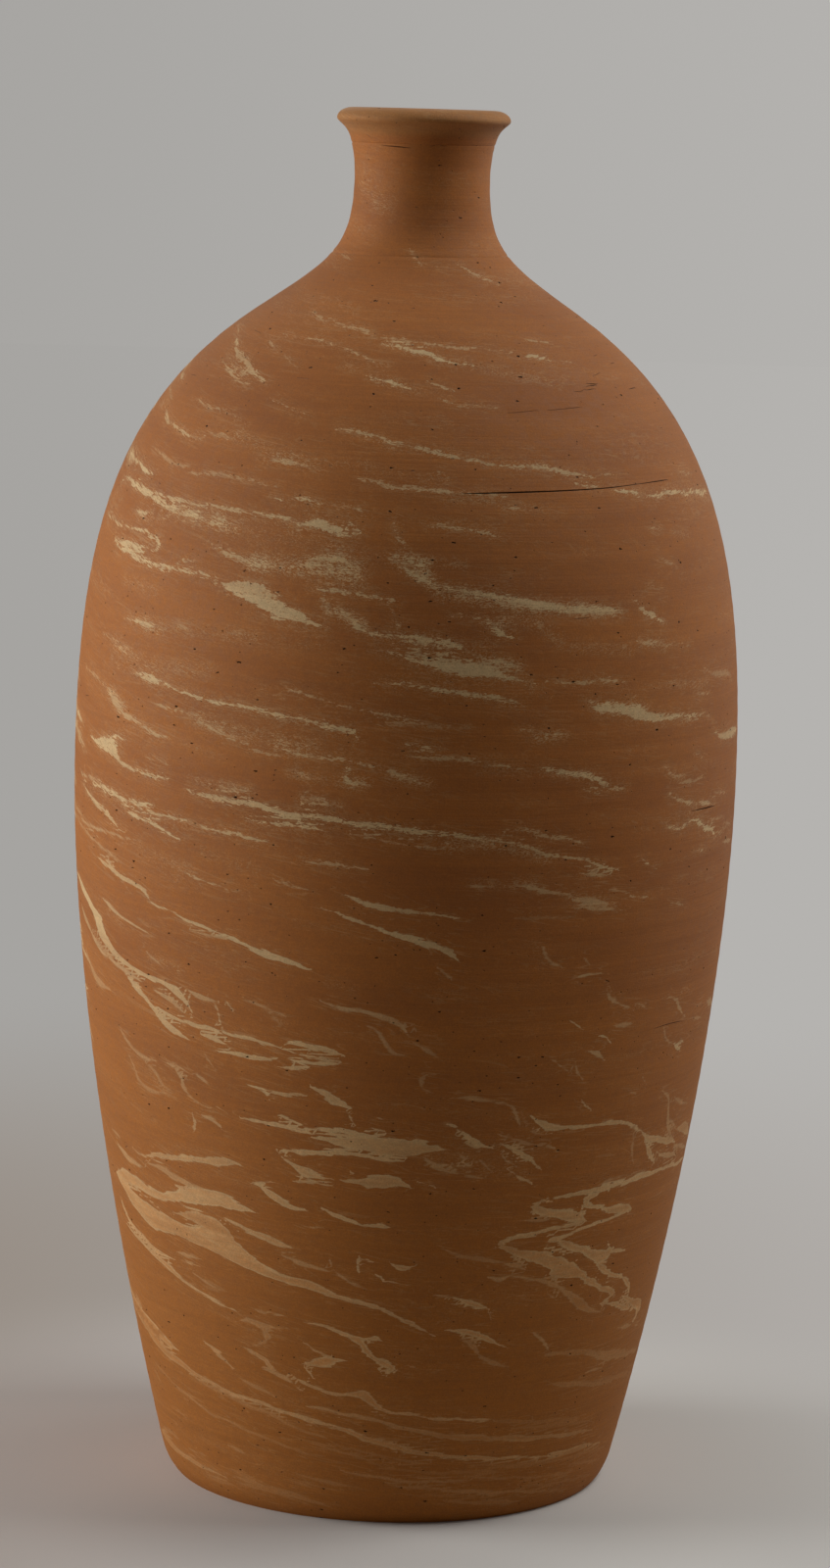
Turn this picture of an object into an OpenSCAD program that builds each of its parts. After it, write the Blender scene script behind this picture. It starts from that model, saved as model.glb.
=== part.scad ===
// Terracotta water jar, thrown in sections and luted together.
// Millimetres, Z up. The origin is on the ground, at the middle of the foot.
// Every piece is turned about the Z axis from its own cross-section, and the
// pieces meet at keyed seams: a ridge on one piece fills a groove in the next.

/* [Floor disc] */
// Diameter of the ring that touches the ground
foot_d = 189; // [176:1:198]
// Diameter of the floor disc where the wall stands on it
floor_d = 201; // [200:1:230]
// Thickness of the floor disc
floor_t = 12; // [9:0.5:20]
// Diameter of the hollow pressed up under the floor
hollow_d = 162; // [60:1:168]
// Depth of that hollow in the middle
hollow_depth = 2; // [0.5:0.5:4]

/* [Body] */
// Diameter at the widest point
belly_d = 289.5; // [250:0.5:330]
// Height of the widest point above the floor disc
belly_rise = 306; // [250:1:360]
// Outward lean of the wall where it leaves the floor, in degrees
foot_lean = 13.5; // [6:0.5:20]
// Diameter at the steepest part of the shoulder
shoulder_d = 140; // [120:1:170]
// Height of the steepest part of the shoulder above the widest point
shoulder_rise = 195; // [160:1:230]
// Inward lean of the wall at the steepest part of the shoulder, in degrees
shoulder_lean = 55.5; // [45:0.5:62]
// How far below the widest point the two halves of the body meet
belly_join_drop = 46; // [30:1:120]

/* [Neck] */
// Outer diameter at the neck's waist
neck_d = 58.5; // [56:0.5:80]
// Height of the waist above the steepest part of the shoulder
neck_rise = 58; // [50:1:75]
// How far below the waist the neck is joined to the shoulder
neck_join_drop = 33; // [27:1:40]
// Bore of the straight throat
throat_d = 45; // [30:0.5:46]
// How far the straight throat reaches below the waist
throat_drop = 20; // [8:1:24]

/* [Lip] */
// Outer diameter of the rolled lip
lip_d = 75; // [72:0.5:96]
// Diameter where the flare of the neck runs into the lip
lip_foot_d = 65.5; // [62:0.5:70]
// Height of that place above the waist
lip_foot_rise = 19; // [16:0.5:26]
// Outward lean of the flare there, in degrees
lip_foot_lean = 31; // [15:1:40]
// How far below that place the lip is joined to the neck
lip_join_drop = 5; // [2:0.5:8]
// Height from there up to the widest part of the lip
lip_edge_rise = 5.5; // [4:0.5:9]
// Height from the widest part to the top of the lip
lip_crown_rise = 4.5; // [3:0.5:8]
// Outer diameter of the flat on top of the lip
crown_d = 61; // [57:0.5:66]
// Diameter of the mouth at the top, where its edge is rounded
mouth_d = 53; // [48:0.5:56]
// Height of the rounding at the mouth's edge
mouth_round = 6; // [2:0.5:9]

/* [Walls] */
// Wall thickness at the floor
wall_foot = 10; // [7:0.5:14]
// Wall thickness at the widest point
wall_belly = 8; // [6:0.5:12]
// Wall thickness where the shoulder meets the neck
wall_neck = 7; // [6:0.5:9]

/* [Seams] */
// Height of the ridge that keys one piece into the next
ridge_h = 3; // [1:0.5:4]
// Width of the coil pressed into the corner between floor and wall
floor_coil_w = 15; // [8:1:24]
// Half the width of the coil pressed over the seam at the belly
belly_coil_half_w = 14; // [6:1:24]
// Half the width of the coil pressed over the seam at the neck
neck_coil_half_w = 7; // [4:0.5:8]
// Thickness of the coil over the seam at the belly
belly_coil_t = 5; // [2:0.5:8]
// Thickness of the coil over the seam at the neck
neck_coil_t = 3; // [1:0.5:4]
// Width of the line that a tool left round the seams at the neck's foot and below the lip
tool_line_w = 1.2; // [0.6:0.2:3]
// Depth of that line
tool_line_depth = 0.2; // [0.1:0.1:1]

/* [Curves] */
// How straight the wall starts at the floor, as a share of the rise to the belly
foot_pull = 0.03; // [0.01:0.01:0.4]
// How straight the wall comes up into the widest point, as a share of that rise
belly_pull_below = 0.44; // [0.25:0.01:0.5]
// How straight the wall leaves the widest point, as a share of the rise to the shoulder
belly_pull_above = 0.47; // [0.3:0.01:0.55]
// How straight the wall comes up into the shoulder, as a share of the same rise
shoulder_pull_below = 0.38; // [0.2:0.01:0.5]
// How straight the wall leaves the shoulder, as a share of the rise to the waist
shoulder_pull_above = 0.66; // [0.4:0.01:0.75]
// How straight the neck comes up into the waist, as a share of the same rise
waist_pull_below = 0.55; // [0.35:0.01:0.6]
// How straight the neck leaves the waist, as a share of the rise to the lip
waist_pull_above = 0.3; // [0.2:0.01:0.45]
// How straight the flare runs into the lip, as a share of the same rise
lip_pull = 0.25; // [0.15:0.01:0.4]

/* [Hidden] */
clay = "#a9683f";
clay_inside = "#8f5633";
turn_sides = 180;
// Step between cross-section points along the height of the body and of the neck
body_step = 6;
neck_step = 2;
// Points on a short rounded stretch, and on each stretch of the throat's entry
round_steps = 12;
entry_steps = 6;

// Heights above the ground, stacked from the bottom up
belly_h = floor_t + belly_rise;
shoulder_h = belly_h + shoulder_rise;
waist_h = shoulder_h + neck_rise;
lip_foot_h = waist_h + lip_foot_rise;
lip_edge_h = lip_foot_h + lip_edge_rise;
top_h = lip_edge_h + lip_crown_rise;
belly_join_h = belly_h - belly_join_drop;
neck_join_h = waist_h - neck_join_drop;
lip_join_h = lip_foot_h - lip_join_drop;
throat_bottom_h = waist_h - throat_drop;

// Direction of a wall that rises with the given lean, outwards if it is positive
function rising(lean) = [sin(lean), cos(lean)];

// The outline is four curves through its stations: floor, belly, shoulder, waist, lip.
// Each curve is two end points, and two handles between them that set its direction.
floor_edge = [floor_d / 2, floor_t];
belly = [belly_d / 2, belly_h];
shoulder = [shoulder_d / 2, shoulder_h];
waist = [neck_d / 2, waist_h];
lip_foot = [lip_foot_d / 2, lip_foot_h];

lower_wall = [
    floor_edge,
    floor_edge + rising(foot_lean) * foot_pull * belly_rise,
    belly - rising(0) * belly_pull_below * belly_rise,
    belly
];
upper_wall = [
    belly,
    belly + rising(0) * belly_pull_above * shoulder_rise,
    shoulder - rising(-shoulder_lean) * shoulder_pull_below * shoulder_rise,
    shoulder
];
neck_foot = [
    shoulder,
    shoulder + rising(-shoulder_lean) * shoulder_pull_above * neck_rise,
    waist - rising(0) * waist_pull_below * neck_rise,
    waist
];
neck_flare = [
    waist,
    waist + rising(0) * waist_pull_above * lip_foot_rise,
    lip_foot - rising(lip_foot_lean) * lip_pull * lip_foot_rise,
    lip_foot
];

// Point and direction on a curve, at a share t of its length of travel
function on_curve(c, t) =
    pow(1 - t, 3) * c[0] + 3 * pow(1 - t, 2) * t * c[1]
    + 3 * (1 - t) * pow(t, 2) * c[2] + pow(t, 3) * c[3];
function along_curve(c, t) =
    pow(1 - t, 2) * (c[1] - c[0]) + 2 * (1 - t) * t * (c[2] - c[1]) + pow(t, 2) * (c[3] - c[2]);
function stretch_points(c, from, to, steps) =
    [for (i = [0:steps]) on_curve(c, from + (to - from) * i / steps)];
function curve_points(c, steps) = stretch_points(c, 0, 1, steps);

// The curve that holds height h, and the share of travel at which it reaches h
function curve_at(h) =
    h <= belly_h ? lower_wall : h <= shoulder_h ? upper_wall : h <= waist_h ? neck_foot : neck_flare;
function travel_to(c, h, low = 0, high = 1, tries = 30) =
    tries == 0 ? (low + high) / 2
    : on_curve(c, (low + high) / 2)[1] < h
        ? travel_to(c, h, (low + high) / 2, high, tries - 1)
        : travel_to(c, h, low, (low + high) / 2, tries - 1);

// The outside of the wall at height h, the direction it runs there, and its thickness
function outside(h) =
    let (c = curve_at(h)) [on_curve(c, travel_to(c, h))[0], h];
function direction(h) =
    let (c = curve_at(h), d = along_curve(c, travel_to(c, h))) d / norm(d);
function wall(h) =
    lookup(h, [[floor_t, wall_foot], [belly_h, wall_belly], [neck_join_h, wall_neck]]);

// The inside of the wall, measured square to the outside
function inside(h) =
    let (d = direction(h)) outside(h) + wall(h) * [-d[1], d[0]];

// Heights from a to b in even steps, both ends among them
function heights(a, b, step) =
    let (count = max(1, ceil((b - a) / step))) [for (i = [0:count]) a + (b - a) * i / count];
function outsides(a, b, step) = [for (h = heights(a, b, step)) outside(h)];
function insides(a, b, step) = [for (h = heights(a, b, step)) inside(h)];
function reversed(list) = [for (i = [len(list) - 1:-1:0]) list[i]];

// Bottom of the tool line round a seam at height h. The wall's outline stops at its edges.
function tool_line_bottom(h) =
    let (d = direction(h)) outside(h) + tool_line_depth * [-d[1], d[0]];
function below_line(h) = h - tool_line_w / 2 * direction(h)[1];
function above_line(h) = h + tool_line_w / 2 * direction(h)[1];

// The tip of the ridge between the outside and inside ends of a seam
function ridge(outer_end, inner_end, run) = (outer_end + inner_end) / 2 + ridge_h * run;

// Seam between floor and wall: level, with the ridge of the wall pressed into the floor
floor_seam_in = floor_edge - [wall_foot / cos(foot_lean), 0];
floor_ridge = ridge(floor_edge, floor_seam_in, [0, -1]);

// Seams across the wall at the belly and at the neck
belly_seam_out = outside(belly_join_h);
belly_seam_in = inside(belly_join_h);
belly_ridge = ridge(belly_seam_out, belly_seam_in, direction(belly_join_h));
neck_seam_out = tool_line_bottom(neck_join_h);
neck_seam_in = inside(neck_join_h);
neck_ridge = ridge(neck_seam_out, neck_seam_in, direction(neck_join_h));

// Level seam between neck and lip
lip_seam_out = tool_line_bottom(lip_join_h);
lip_seam_in = [throat_d / 2, lip_join_h];
lip_ridge = ridge(lip_seam_out, lip_seam_in, [0, 1]);

// Heights at which the coils over the seams end
floor_coil_h = floor_t + floor_coil_w;
belly_coil_low_h = belly_join_h - belly_coil_half_w;
belly_coil_high_h = belly_join_h + belly_coil_half_w;
neck_coil_low_h = neck_join_h - neck_coil_half_w;

// Inside of the wall below and above the belly seam, shared with the coils that lie on it
corner_inside = concat([floor_seam_in], insides(floor_t, floor_coil_h, body_step));
below_belly_inside = insides(belly_coil_low_h, belly_join_h, body_step);
above_belly_inside = insides(belly_join_h, belly_coil_high_h, body_step);
below_neck_inside = insides(neck_coil_low_h, neck_join_h, neck_step);

// Inside of the neck: it runs on from the shoulder and turns into the straight throat
throat_bottom = [throat_d / 2, throat_bottom_h];
throat_pull = (throat_bottom_h - neck_seam_in[1]) / 2;
throat_entry = [
    neck_seam_in,
    neck_seam_in + direction(neck_join_h) * throat_pull,
    throat_bottom - rising(0) * throat_pull,
    throat_bottom
];

// The neck coil covers the first stretch of the throat's entry, and the rest is bare
coil_travel = travel_to(throat_entry, neck_seam_in[1] + neck_coil_half_w);
entry_under_coil = stretch_points(throat_entry, 0, coil_travel, entry_steps);
entry_bare = stretch_points(throat_entry, coil_travel, 1, entry_steps);

// The free side of a coil that lies on the wall from point a to point b
function bead(a, b, thickness) =
    let (across = [a[1] - b[1], b[0] - a[0]] / norm(b - a))
    [for (i = [1:round_steps - 1])
        a + (b - a) * i / round_steps + across * thickness * sin(180 * i / round_steps)];

// Share of a quarter arc's radius at which the handles of its curve lie
quarter = 0.55;

module turned(section) {
    rotate_extrude($fn = turn_sides) polygon(section);
}

// Slab of clay that the jar stands on, with a rounded edge and a hollow underside
module floor_disc() {
    edge = curve_points([
        [foot_d / 2, 0],
        [(foot_d + floor_d) / 4, floor_t / 4],
        floor_edge - rising(foot_lean) * floor_t / 3,
        floor_edge
    ], round_steps);
    hollow = curve_points([
        [0, hollow_depth],
        [hollow_d / 4, hollow_depth],
        [hollow_d / 3, 0.3 * hollow_depth],
        [hollow_d / 2, 0]
    ], round_steps);
    color(clay) turned(concat(hollow, edge, [floor_ridge, floor_seam_in, [0, floor_t]]));
}

// Coil pressed into the corner between the floor and the wall, with a hollow face
module floor_coil() {
    high = corner_inside[len(corner_inside) - 1];
    low = floor_seam_in - [floor_coil_w, 0];
    face = curve_points([
        high,
        high + (floor_seam_in - high) * quarter,
        low + (floor_seam_in - low) * quarter,
        low
    ], round_steps);
    color(clay_inside) turned(concat(corner_inside, [for (i = [1:round_steps]) face[i]]));
}

// Lower half of the body, thrown as an open bowl on the floor disc
module lower_body() {
    color(clay) turned(concat(
        outsides(floor_t, belly_join_h, body_step),
        [belly_ridge],
        reversed(below_belly_inside),
        reversed(insides(floor_coil_h, belly_coil_low_h, body_step)),
        reversed(corner_inside),
        [floor_ridge]
    ));
}

// Coil smoothed over the inside of the seam between the two halves
module belly_coil() {
    low = below_belly_inside[0];
    high = above_belly_inside[len(above_belly_inside) - 1];
    color(clay_inside) turned(concat(
        below_belly_inside,
        above_belly_inside,
        reversed(bead(low, high, belly_coil_t))
    ));
}

// Upper half of the body, thrown upside down and closed in at the shoulder
module upper_body() {
    color(clay) turned(concat(
        outsides(belly_join_h, belly_h, body_step),
        outsides(belly_h, shoulder_h, body_step),
        outsides(shoulder_h, below_line(neck_join_h), neck_step),
        [neck_seam_out, neck_ridge],
        reversed(below_neck_inside),
        reversed(insides(shoulder_h, neck_coil_low_h, neck_step)),
        reversed(insides(belly_coil_high_h, shoulder_h, body_step)),
        reversed(above_belly_inside),
        [belly_ridge]
    ));
}

// Coil smoothed over the inside of the seam between shoulder and neck
module neck_coil() {
    low = below_neck_inside[0];
    high = entry_under_coil[entry_steps];
    color(clay_inside) turned(concat(
        below_neck_inside,
        entry_under_coil,
        reversed(bead(low, high, neck_coil_t))
    ));
}

// Neck collar, drawn in to a waist on the outside and straight in the throat
module neck() {
    color(clay) turned(concat(
        [neck_seam_out],
        outsides(above_line(neck_join_h), waist_h, neck_step),
        outsides(waist_h, below_line(lip_join_h), neck_step),
        [lip_seam_out, lip_ridge, lip_seam_in],
        reversed(entry_bare),
        reversed(entry_under_coil),
        [neck_ridge]
    ));
}

// Lip: a coil rolled over the top of the neck and rounded with the fingers
module rolled_lip() {
    lip_edge = [lip_d / 2, lip_edge_h];
    underside = curve_points([
        lip_foot,
        lip_foot + rising(lip_foot_lean) * 0.65 * lip_edge_rise,
        lip_edge - rising(0) * 0.25 * lip_edge_rise,
        lip_edge
    ], round_steps);
    crown_edge = [crown_d / 2, top_h];
    crown = curve_points([
        lip_edge,
        lip_edge + [0, quarter * lip_crown_rise],
        crown_edge + [quarter * (lip_d - crown_d) / 2, 0],
        crown_edge
    ], round_steps);
    mouth_edge = [mouth_d / 2, top_h];
    throat_top = [throat_d / 2, top_h - mouth_round];
    mouth = curve_points([
        mouth_edge,
        mouth_edge - [quarter * (mouth_d - throat_d) / 2, 0],
        throat_top + [0, quarter * mouth_round],
        throat_top
    ], round_steps);
    color(clay) turned(concat(
        [lip_seam_out],
        outsides(above_line(lip_join_h), lip_foot_h, neck_step),
        underside, crown, mouth,
        [lip_seam_in, lip_ridge]
    ));
}

floor_disc();
floor_coil();
lower_body();
belly_coil();
upper_body();
neck_coil();
neck();
rolled_lip();
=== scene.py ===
"""Studio picture of a tall water jar, thrown in sections from marbled terracotta.

Metres, Z up. The origin is on the ground at the middle of the foot, and the front is towards -Y.
"""

import math

import bpy
import numpy as np
from mathutils import Matrix, Vector


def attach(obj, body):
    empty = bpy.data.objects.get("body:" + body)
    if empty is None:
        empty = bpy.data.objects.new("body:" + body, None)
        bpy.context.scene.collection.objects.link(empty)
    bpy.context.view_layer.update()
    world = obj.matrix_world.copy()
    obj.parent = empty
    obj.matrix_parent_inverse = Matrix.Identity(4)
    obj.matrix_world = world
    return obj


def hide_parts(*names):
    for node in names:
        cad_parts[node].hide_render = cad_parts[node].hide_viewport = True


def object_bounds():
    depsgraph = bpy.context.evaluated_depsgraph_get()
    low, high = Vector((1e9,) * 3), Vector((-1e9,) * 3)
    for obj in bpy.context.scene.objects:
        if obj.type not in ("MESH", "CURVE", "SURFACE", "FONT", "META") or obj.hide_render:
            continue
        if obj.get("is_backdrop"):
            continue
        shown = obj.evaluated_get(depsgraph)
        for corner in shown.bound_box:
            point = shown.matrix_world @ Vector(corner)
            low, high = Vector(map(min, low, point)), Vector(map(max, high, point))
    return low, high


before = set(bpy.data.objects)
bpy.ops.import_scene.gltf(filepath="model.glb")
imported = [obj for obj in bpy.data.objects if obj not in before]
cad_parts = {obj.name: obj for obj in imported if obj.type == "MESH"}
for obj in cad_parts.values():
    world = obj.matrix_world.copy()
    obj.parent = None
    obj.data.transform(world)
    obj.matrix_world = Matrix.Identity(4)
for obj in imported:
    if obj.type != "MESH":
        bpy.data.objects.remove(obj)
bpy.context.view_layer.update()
scene = bpy.context.scene
scene.view_settings.view_transform = "Standard"

# Camera
# It stands two metres off, level with the lip, and looks down a little. The picture leans by the
# tilt, as the photograph's does.
CAMERA_AWAY = 2.112
CAMERA_HEIGHT = 0.6108
LENS = 111.6
LOOK_DOWN = math.radians(8.2)
LOOK_ASIDE = math.radians(-0.12)
TILT = math.radians(1.67)

camera = bpy.data.objects.new("camera", bpy.data.cameras.new("camera"))
camera.data.lens = LENS
camera.matrix_world = (
    Matrix.Translation((0, -CAMERA_AWAY, CAMERA_HEIGHT))
    @ Matrix.Rotation(LOOK_ASIDE, 4, "Z")
    @ Matrix.Rotation(math.pi / 2 - LOOK_DOWN, 4, "X")
    @ Matrix.Rotation(TILT, 4, "Z")
)
scene.collection.objects.link(camera)
scene.camera = camera


# Studio
# Grey paper on the floor, which fades into the same plain grey behind it. Its darker left side is
# painted shade, and so are the darker greys that glow round the jar and the darker patch in front of
# its foot. It looks paler than the light that it sends back to the jar. A wide soft lamp stands at the
# left, a smaller one hangs at the upper right, and a weak one fills behind.
FLOOR_SIZE = 9.0
FLOOR_SIDES = 96
FADE_FROM = 0.12
FADE_TO = 0.36
# Each left colour is darker than its right one: painted shade on the left side.
PAPER_LEFT = "#d8d0ca"
PAPER_RIGHT = "#e6e4dd"
PAPER_UNSEEN = "#b4aa9c"
BACKDROP_LEFT = "#a6a4a1"
BACKDROP_RIGHT = "#b5b3b0"
# Painted shade: the darker greys that the paper glows with round the jar.
SHADED_LEFT = "#958b82"
SHADED_RIGHT = "#b0aca8"
SHADED_TO = 1.15
SIDE_SPAN = 0.14
AMBIENT = 0.076
# Painted shadow: how dark the paper is in a patch in front of the foot, and where that patch lies.
FRONT_SHADE = 0.78
FRONT_SHADE_AT = (0, 0.12, 0)


def shade(hex_colour):
    """The linear colour, with alpha, of an sRGB hex value."""
    parts = [int(hex_colour[i : i + 2], 16) / 255 for i in (1, 3, 5)]
    return [p / 12.92 if p <= 0.04045 else ((p + 0.055) / 1.055) ** 2.4 for p in parts] + [1.0]


def add(tree, kind, inputs=(), **settings):
    """Adds a node with its settings. An input is fed by a value, a socket or a node's first output."""
    node = tree.nodes.new(kind)
    for name, value in settings.items():
        setattr(node, name, value)
    for name, value in dict(inputs).items():
        ways_in = [s for s in node.inputs if s.enabled]
        target = ways_in[name] if isinstance(name, int) else next(s for s in ways_in if s.name == name)
        if isinstance(value, bpy.types.Node):
            value = next(s for s in value.outputs if s.enabled)
        if isinstance(value, bpy.types.NodeSocket):
            tree.links.new(value, target)
        else:
            target.default_value = value
    return node


def backdrop(tree, direction, left, right):
    """A plain grey, darker to the left of the jar and paler to the right: the darker left is painted shade.
    """
    level = add(tree, "ShaderNodeVectorMath", {0: direction}, operation="NORMALIZE")
    side = add(tree, "ShaderNodeSeparateXYZ", {0: level}).outputs["X"]
    share = add(
        tree, "ShaderNodeMapRange", {"Value": side, "From Min": -SIDE_SPAN, "From Max": SIDE_SPAN},
        interpolation_type="SMOOTHSTEP",
    )
    return add(
        tree, "ShaderNodeMix",
        {"Factor": share, "A": shade(left), "B": shade(right)}, data_type="RGBA",
    )


paper = bpy.data.materials.new("Matt grey paper")
paper.use_nodes = True
tree = paper.node_tree
tree.nodes.clear()
place = add(tree, "ShaderNodeNewGeometry").outputs["Position"]
away = add(tree, "ShaderNodeVectorMath", {0: place}, operation="LENGTH").outputs["Value"]
far = add(
    tree, "ShaderNodeMapRange", {"Value": away, "From Min": FADE_FROM, "From Max": FADE_TO},
    interpolation_type="SMOOTHERSTEP",
)
rays = add(tree, "ShaderNodeLightPath")
seen = add(tree, "ShaderNodeMath", {0: far, 1: rays.outputs["Is Camera Ray"]}, operation="MULTIPLY")
seen_from = add(tree, "ShaderNodeVectorMath", {0: place, 1: (0, CAMERA_AWAY, 0)}, operation="ADD")
# The paper is darkened in a patch in front of the foot, as a painted shadow of the jar.
in_front = add(tree, "ShaderNodeVectorMath", {0: place, 1: FRONT_SHADE_AT}, operation="ADD")
from_front = add(tree, "ShaderNodeVectorMath", {0: in_front}, operation="LENGTH").outputs["Value"]
painted_front_shadow = add(
    tree, "ShaderNodeMapRange",
    {"Value": from_front, "From Min": 0.03, "From Max": 0.16, "To Min": FRONT_SHADE, "To Max": 1.0},
    interpolation_type="SMOOTHSTEP",
)
paper_seen = add(
    tree, "ShaderNodeVectorMath",
    {0: backdrop(tree, seen_from, PAPER_LEFT, PAPER_RIGHT), "Scale": painted_front_shadow}, operation="SCALE",
)
sheet = add(
    tree, "ShaderNodeMix",
    {"Factor": rays.outputs["Is Camera Ray"], "A": shade(PAPER_UNSEEN), "B": paper_seen},
    data_type="RGBA",
)
lit = add(tree, "ShaderNodeBsdfDiffuse", {"Color": sheet})
# Further off the paper glows: darker greys round the jar, which are painted shade, clear to the backdrop
# grey.
clearing = add(
    tree, "ShaderNodeMapRange", {"Value": away, "From Min": FADE_TO, "From Max": SHADED_TO},
    interpolation_type="SMOOTHSTEP",
)
painted_shade_greys = add(
    tree, "ShaderNodeMix",
    {"Factor": clearing, "A": backdrop(tree, seen_from, SHADED_LEFT, SHADED_RIGHT),
     "B": backdrop(tree, place, BACKDROP_LEFT, BACKDROP_RIGHT)}, data_type="RGBA",
)
plain = add(tree, "ShaderNodeEmission", {"Color": painted_shade_greys})
mixed = add(tree, "ShaderNodeMixShader", {0: seen, 1: lit, 2: plain})
add(tree, "ShaderNodeOutputMaterial", {"Surface": mixed})

floor_mesh = bpy.data.meshes.new("floor")
edge = [math.tau * i / FLOOR_SIDES for i in range(FLOOR_SIDES)]
floor_mesh.from_pydata(
    [(FLOOR_SIZE * math.cos(a), FLOOR_SIZE * math.sin(a), 0) for a in edge], [], [range(FLOOR_SIDES)]
)
floor_mesh.materials.append(paper)
floor = bpy.data.objects.new("floor", floor_mesh)
scene.collection.objects.link(floor)
floor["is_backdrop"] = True

scene.world = bpy.data.worlds.new("studio")
scene.world.use_nodes = True
tree = scene.world.node_tree
tree.nodes.clear()
rays = add(tree, "ShaderNodeLightPath")
mirrored = add(
    tree, "ShaderNodeMath",
    {0: rays.outputs["Is Camera Ray"], 1: rays.outputs["Is Glossy Ray"]}, operation="MAXIMUM",
)
shown = add(
    tree, "ShaderNodeMath", {0: mirrored, 1: rays.outputs["Is Transmission Ray"]}, operation="MAXIMUM"
)
dim = add(tree, "ShaderNodeBackground", {"Color": (1, 1, 1, 1), "Strength": AMBIENT})
around = add(tree, "ShaderNodeTexCoord").outputs["Generated"]
# Seen straight or in the jar, the world is the backdrop grey, with painted shade to the left.
grey = add(tree, "ShaderNodeBackground", {"Color": backdrop(tree, around, BACKDROP_LEFT, BACKDROP_RIGHT)})
mixed = add(tree, "ShaderNodeMixShader", {0: shown, 1: dim, 2: grey})
add(tree, "ShaderNodeOutputWorld", {"Surface": mixed})

# Each lamp: degrees round from the front to the right, height, distance, width, length and watts
LAMPS = {
    "left": (-86, 0.6, 1.5, 0.9, 1.5, 20.8),
    "top_right": (90, 1.5, 0.95, 0.8, 0.8, 10.8),
    "back_right": (120, 0.25, 1.5, 0.5, 1.3, 4.2),
}
for name, (round_from_front, height, away, width, length, power) in LAMPS.items():
    lamp = bpy.data.lights.new("lamp_" + name, "AREA")
    lamp.shape = "RECTANGLE"
    lamp.size, lamp.size_y = width, length
    lamp.energy = power
    stand = bpy.data.objects.new("lamp_" + name, lamp)
    turn = math.radians(round_from_front)
    stand.location = (away * math.sin(turn), -away * math.cos(turn), height)
    aim = Vector((0, 0, 0.3)) - stand.location
    stand.rotation_euler = aim.to_track_quat("-Z", "Y").to_euler()
    scene.collection.objects.link(stand)


# Floor disc
# The slab of clay that the jar stands on, beaten flat on the wheel. Its edge was rounded with a
# wooden rib, and its underside was pressed hollow, so that it stands on a ring.
SHARP = math.radians(25)
DISC_STEP = 1.3
HIDDEN_STEP = 14


def cross_section(node):
    """Corners of a CAD piece's cross-section on its +X side, as (radius, height) in mm, going up the
    outside and down the inside. An open one starts and ends on the axis."""
    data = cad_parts[node].data
    corners = [(round(v.co.x * 1000, 3), round(v.co.z * 1000, 3)) for v in data.vertices]
    level = [abs(v.co.y) < 1e-6 and v.co.x > -1e-6 for v in data.vertices]
    beside = {}
    for a, b in (e.vertices for e in data.edges):
        if level[a] and level[b] and corners[a] != corners[b] and max(corners[a][0], corners[b][0]) > 0:
            beside.setdefault(corners[a], set()).add(corners[b])
            beside.setdefault(corners[b], set()).add(corners[a])
    ends = [c for c in beside if len(beside[c]) == 1]
    walk = [min(ends, key=lambda c: c[1]) if ends else min(beside)]
    while True:
        onward = [c for c in sorted(beside[walk[-1]]) if c not in walk[-2:]]
        if not onward or onward[0] == walk[0]:
            break
        walk.append(onward[0])
    if ends and walk[-1][0] > 0:
        walk.append((0.0, walk[-1][1]))
    r, z = np.array(walk).T
    turns_left = np.sum(r * np.roll(z, -1) - z * np.roll(r, -1)) > 0
    return walk if turns_left else walk[::-1]


# The outside of the whole jar from the middle of the foot to the crown of the lip: radius, height
# and distance run along it. Each piece starts where the one below it ends.
WALL = ["floor_disc", "lower_body", "upper_body", "neck", "rolled_lip"]
sections = {node: cross_section(node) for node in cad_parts}
outline = [(0.0, 0.0, 0.0)]
starts = {}
outer_ends = {}
for node, above in zip(WALL, WALL[1:] + [None]):
    walk = sections[node]
    if node != "floor_disc":
        first = walk.index(seam)
        walk = walk[first:] + walk[:first]
        sections[node] = walk
    seam = max(set(walk) & set(sections[above])) if above else max(walk, key=lambda c: c[1])
    starts[node] = outline[-1][2]
    outer_ends[node] = walk.index(seam)
    for corner in walk[1 : outer_ends[node] + 1]:
        r, z, run = outline[-1]
        outline.append((*corner, run + math.hypot(corner[0] - r, corner[1] - z)))
outline = np.array(outline)


def smooth_run(points, step):
    """Points along a smooth curve through the given ones, in even steps of about the given length."""
    points = np.array(points)
    chords = np.hypot(*np.diff(points[:, :2], axis=0).T)
    at = np.concatenate([[0], np.cumsum(chords)])
    count = max(1, round(at[-1] / step))
    want = np.linspace(0, at[-1], count + 1)
    if len(points) == 2:
        return np.stack([np.interp(want, at, column) for column in points.T], 1)
    slopes = np.diff(points, axis=0) / chords[:, None]
    share = (chords[:-1] / (chords[:-1] + chords[1:]))[:, None]
    middle = slopes[:-1] * (1 - share) + slopes[1:] * share
    ends = 2 * slopes[0] - middle[0], 2 * slopes[-1] - middle[-1]
    pulls = np.concatenate([[ends[0]], middle, [ends[1]]])
    leg = np.clip(np.searchsorted(at, want, side="right") - 1, 0, len(chords) - 1)
    t = ((want - at[leg]) / chords[leg])[:, None]
    h = chords[leg][:, None]
    return (
        (2 * t**3 - 3 * t**2 + 1) * points[leg]
        + (t**3 - 2 * t**2 + t) * h * pulls[leg]
        + (3 * t**2 - 2 * t**3) * points[leg + 1]
        + (t**3 - t**2) * h * pulls[leg + 1]
    )


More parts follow.
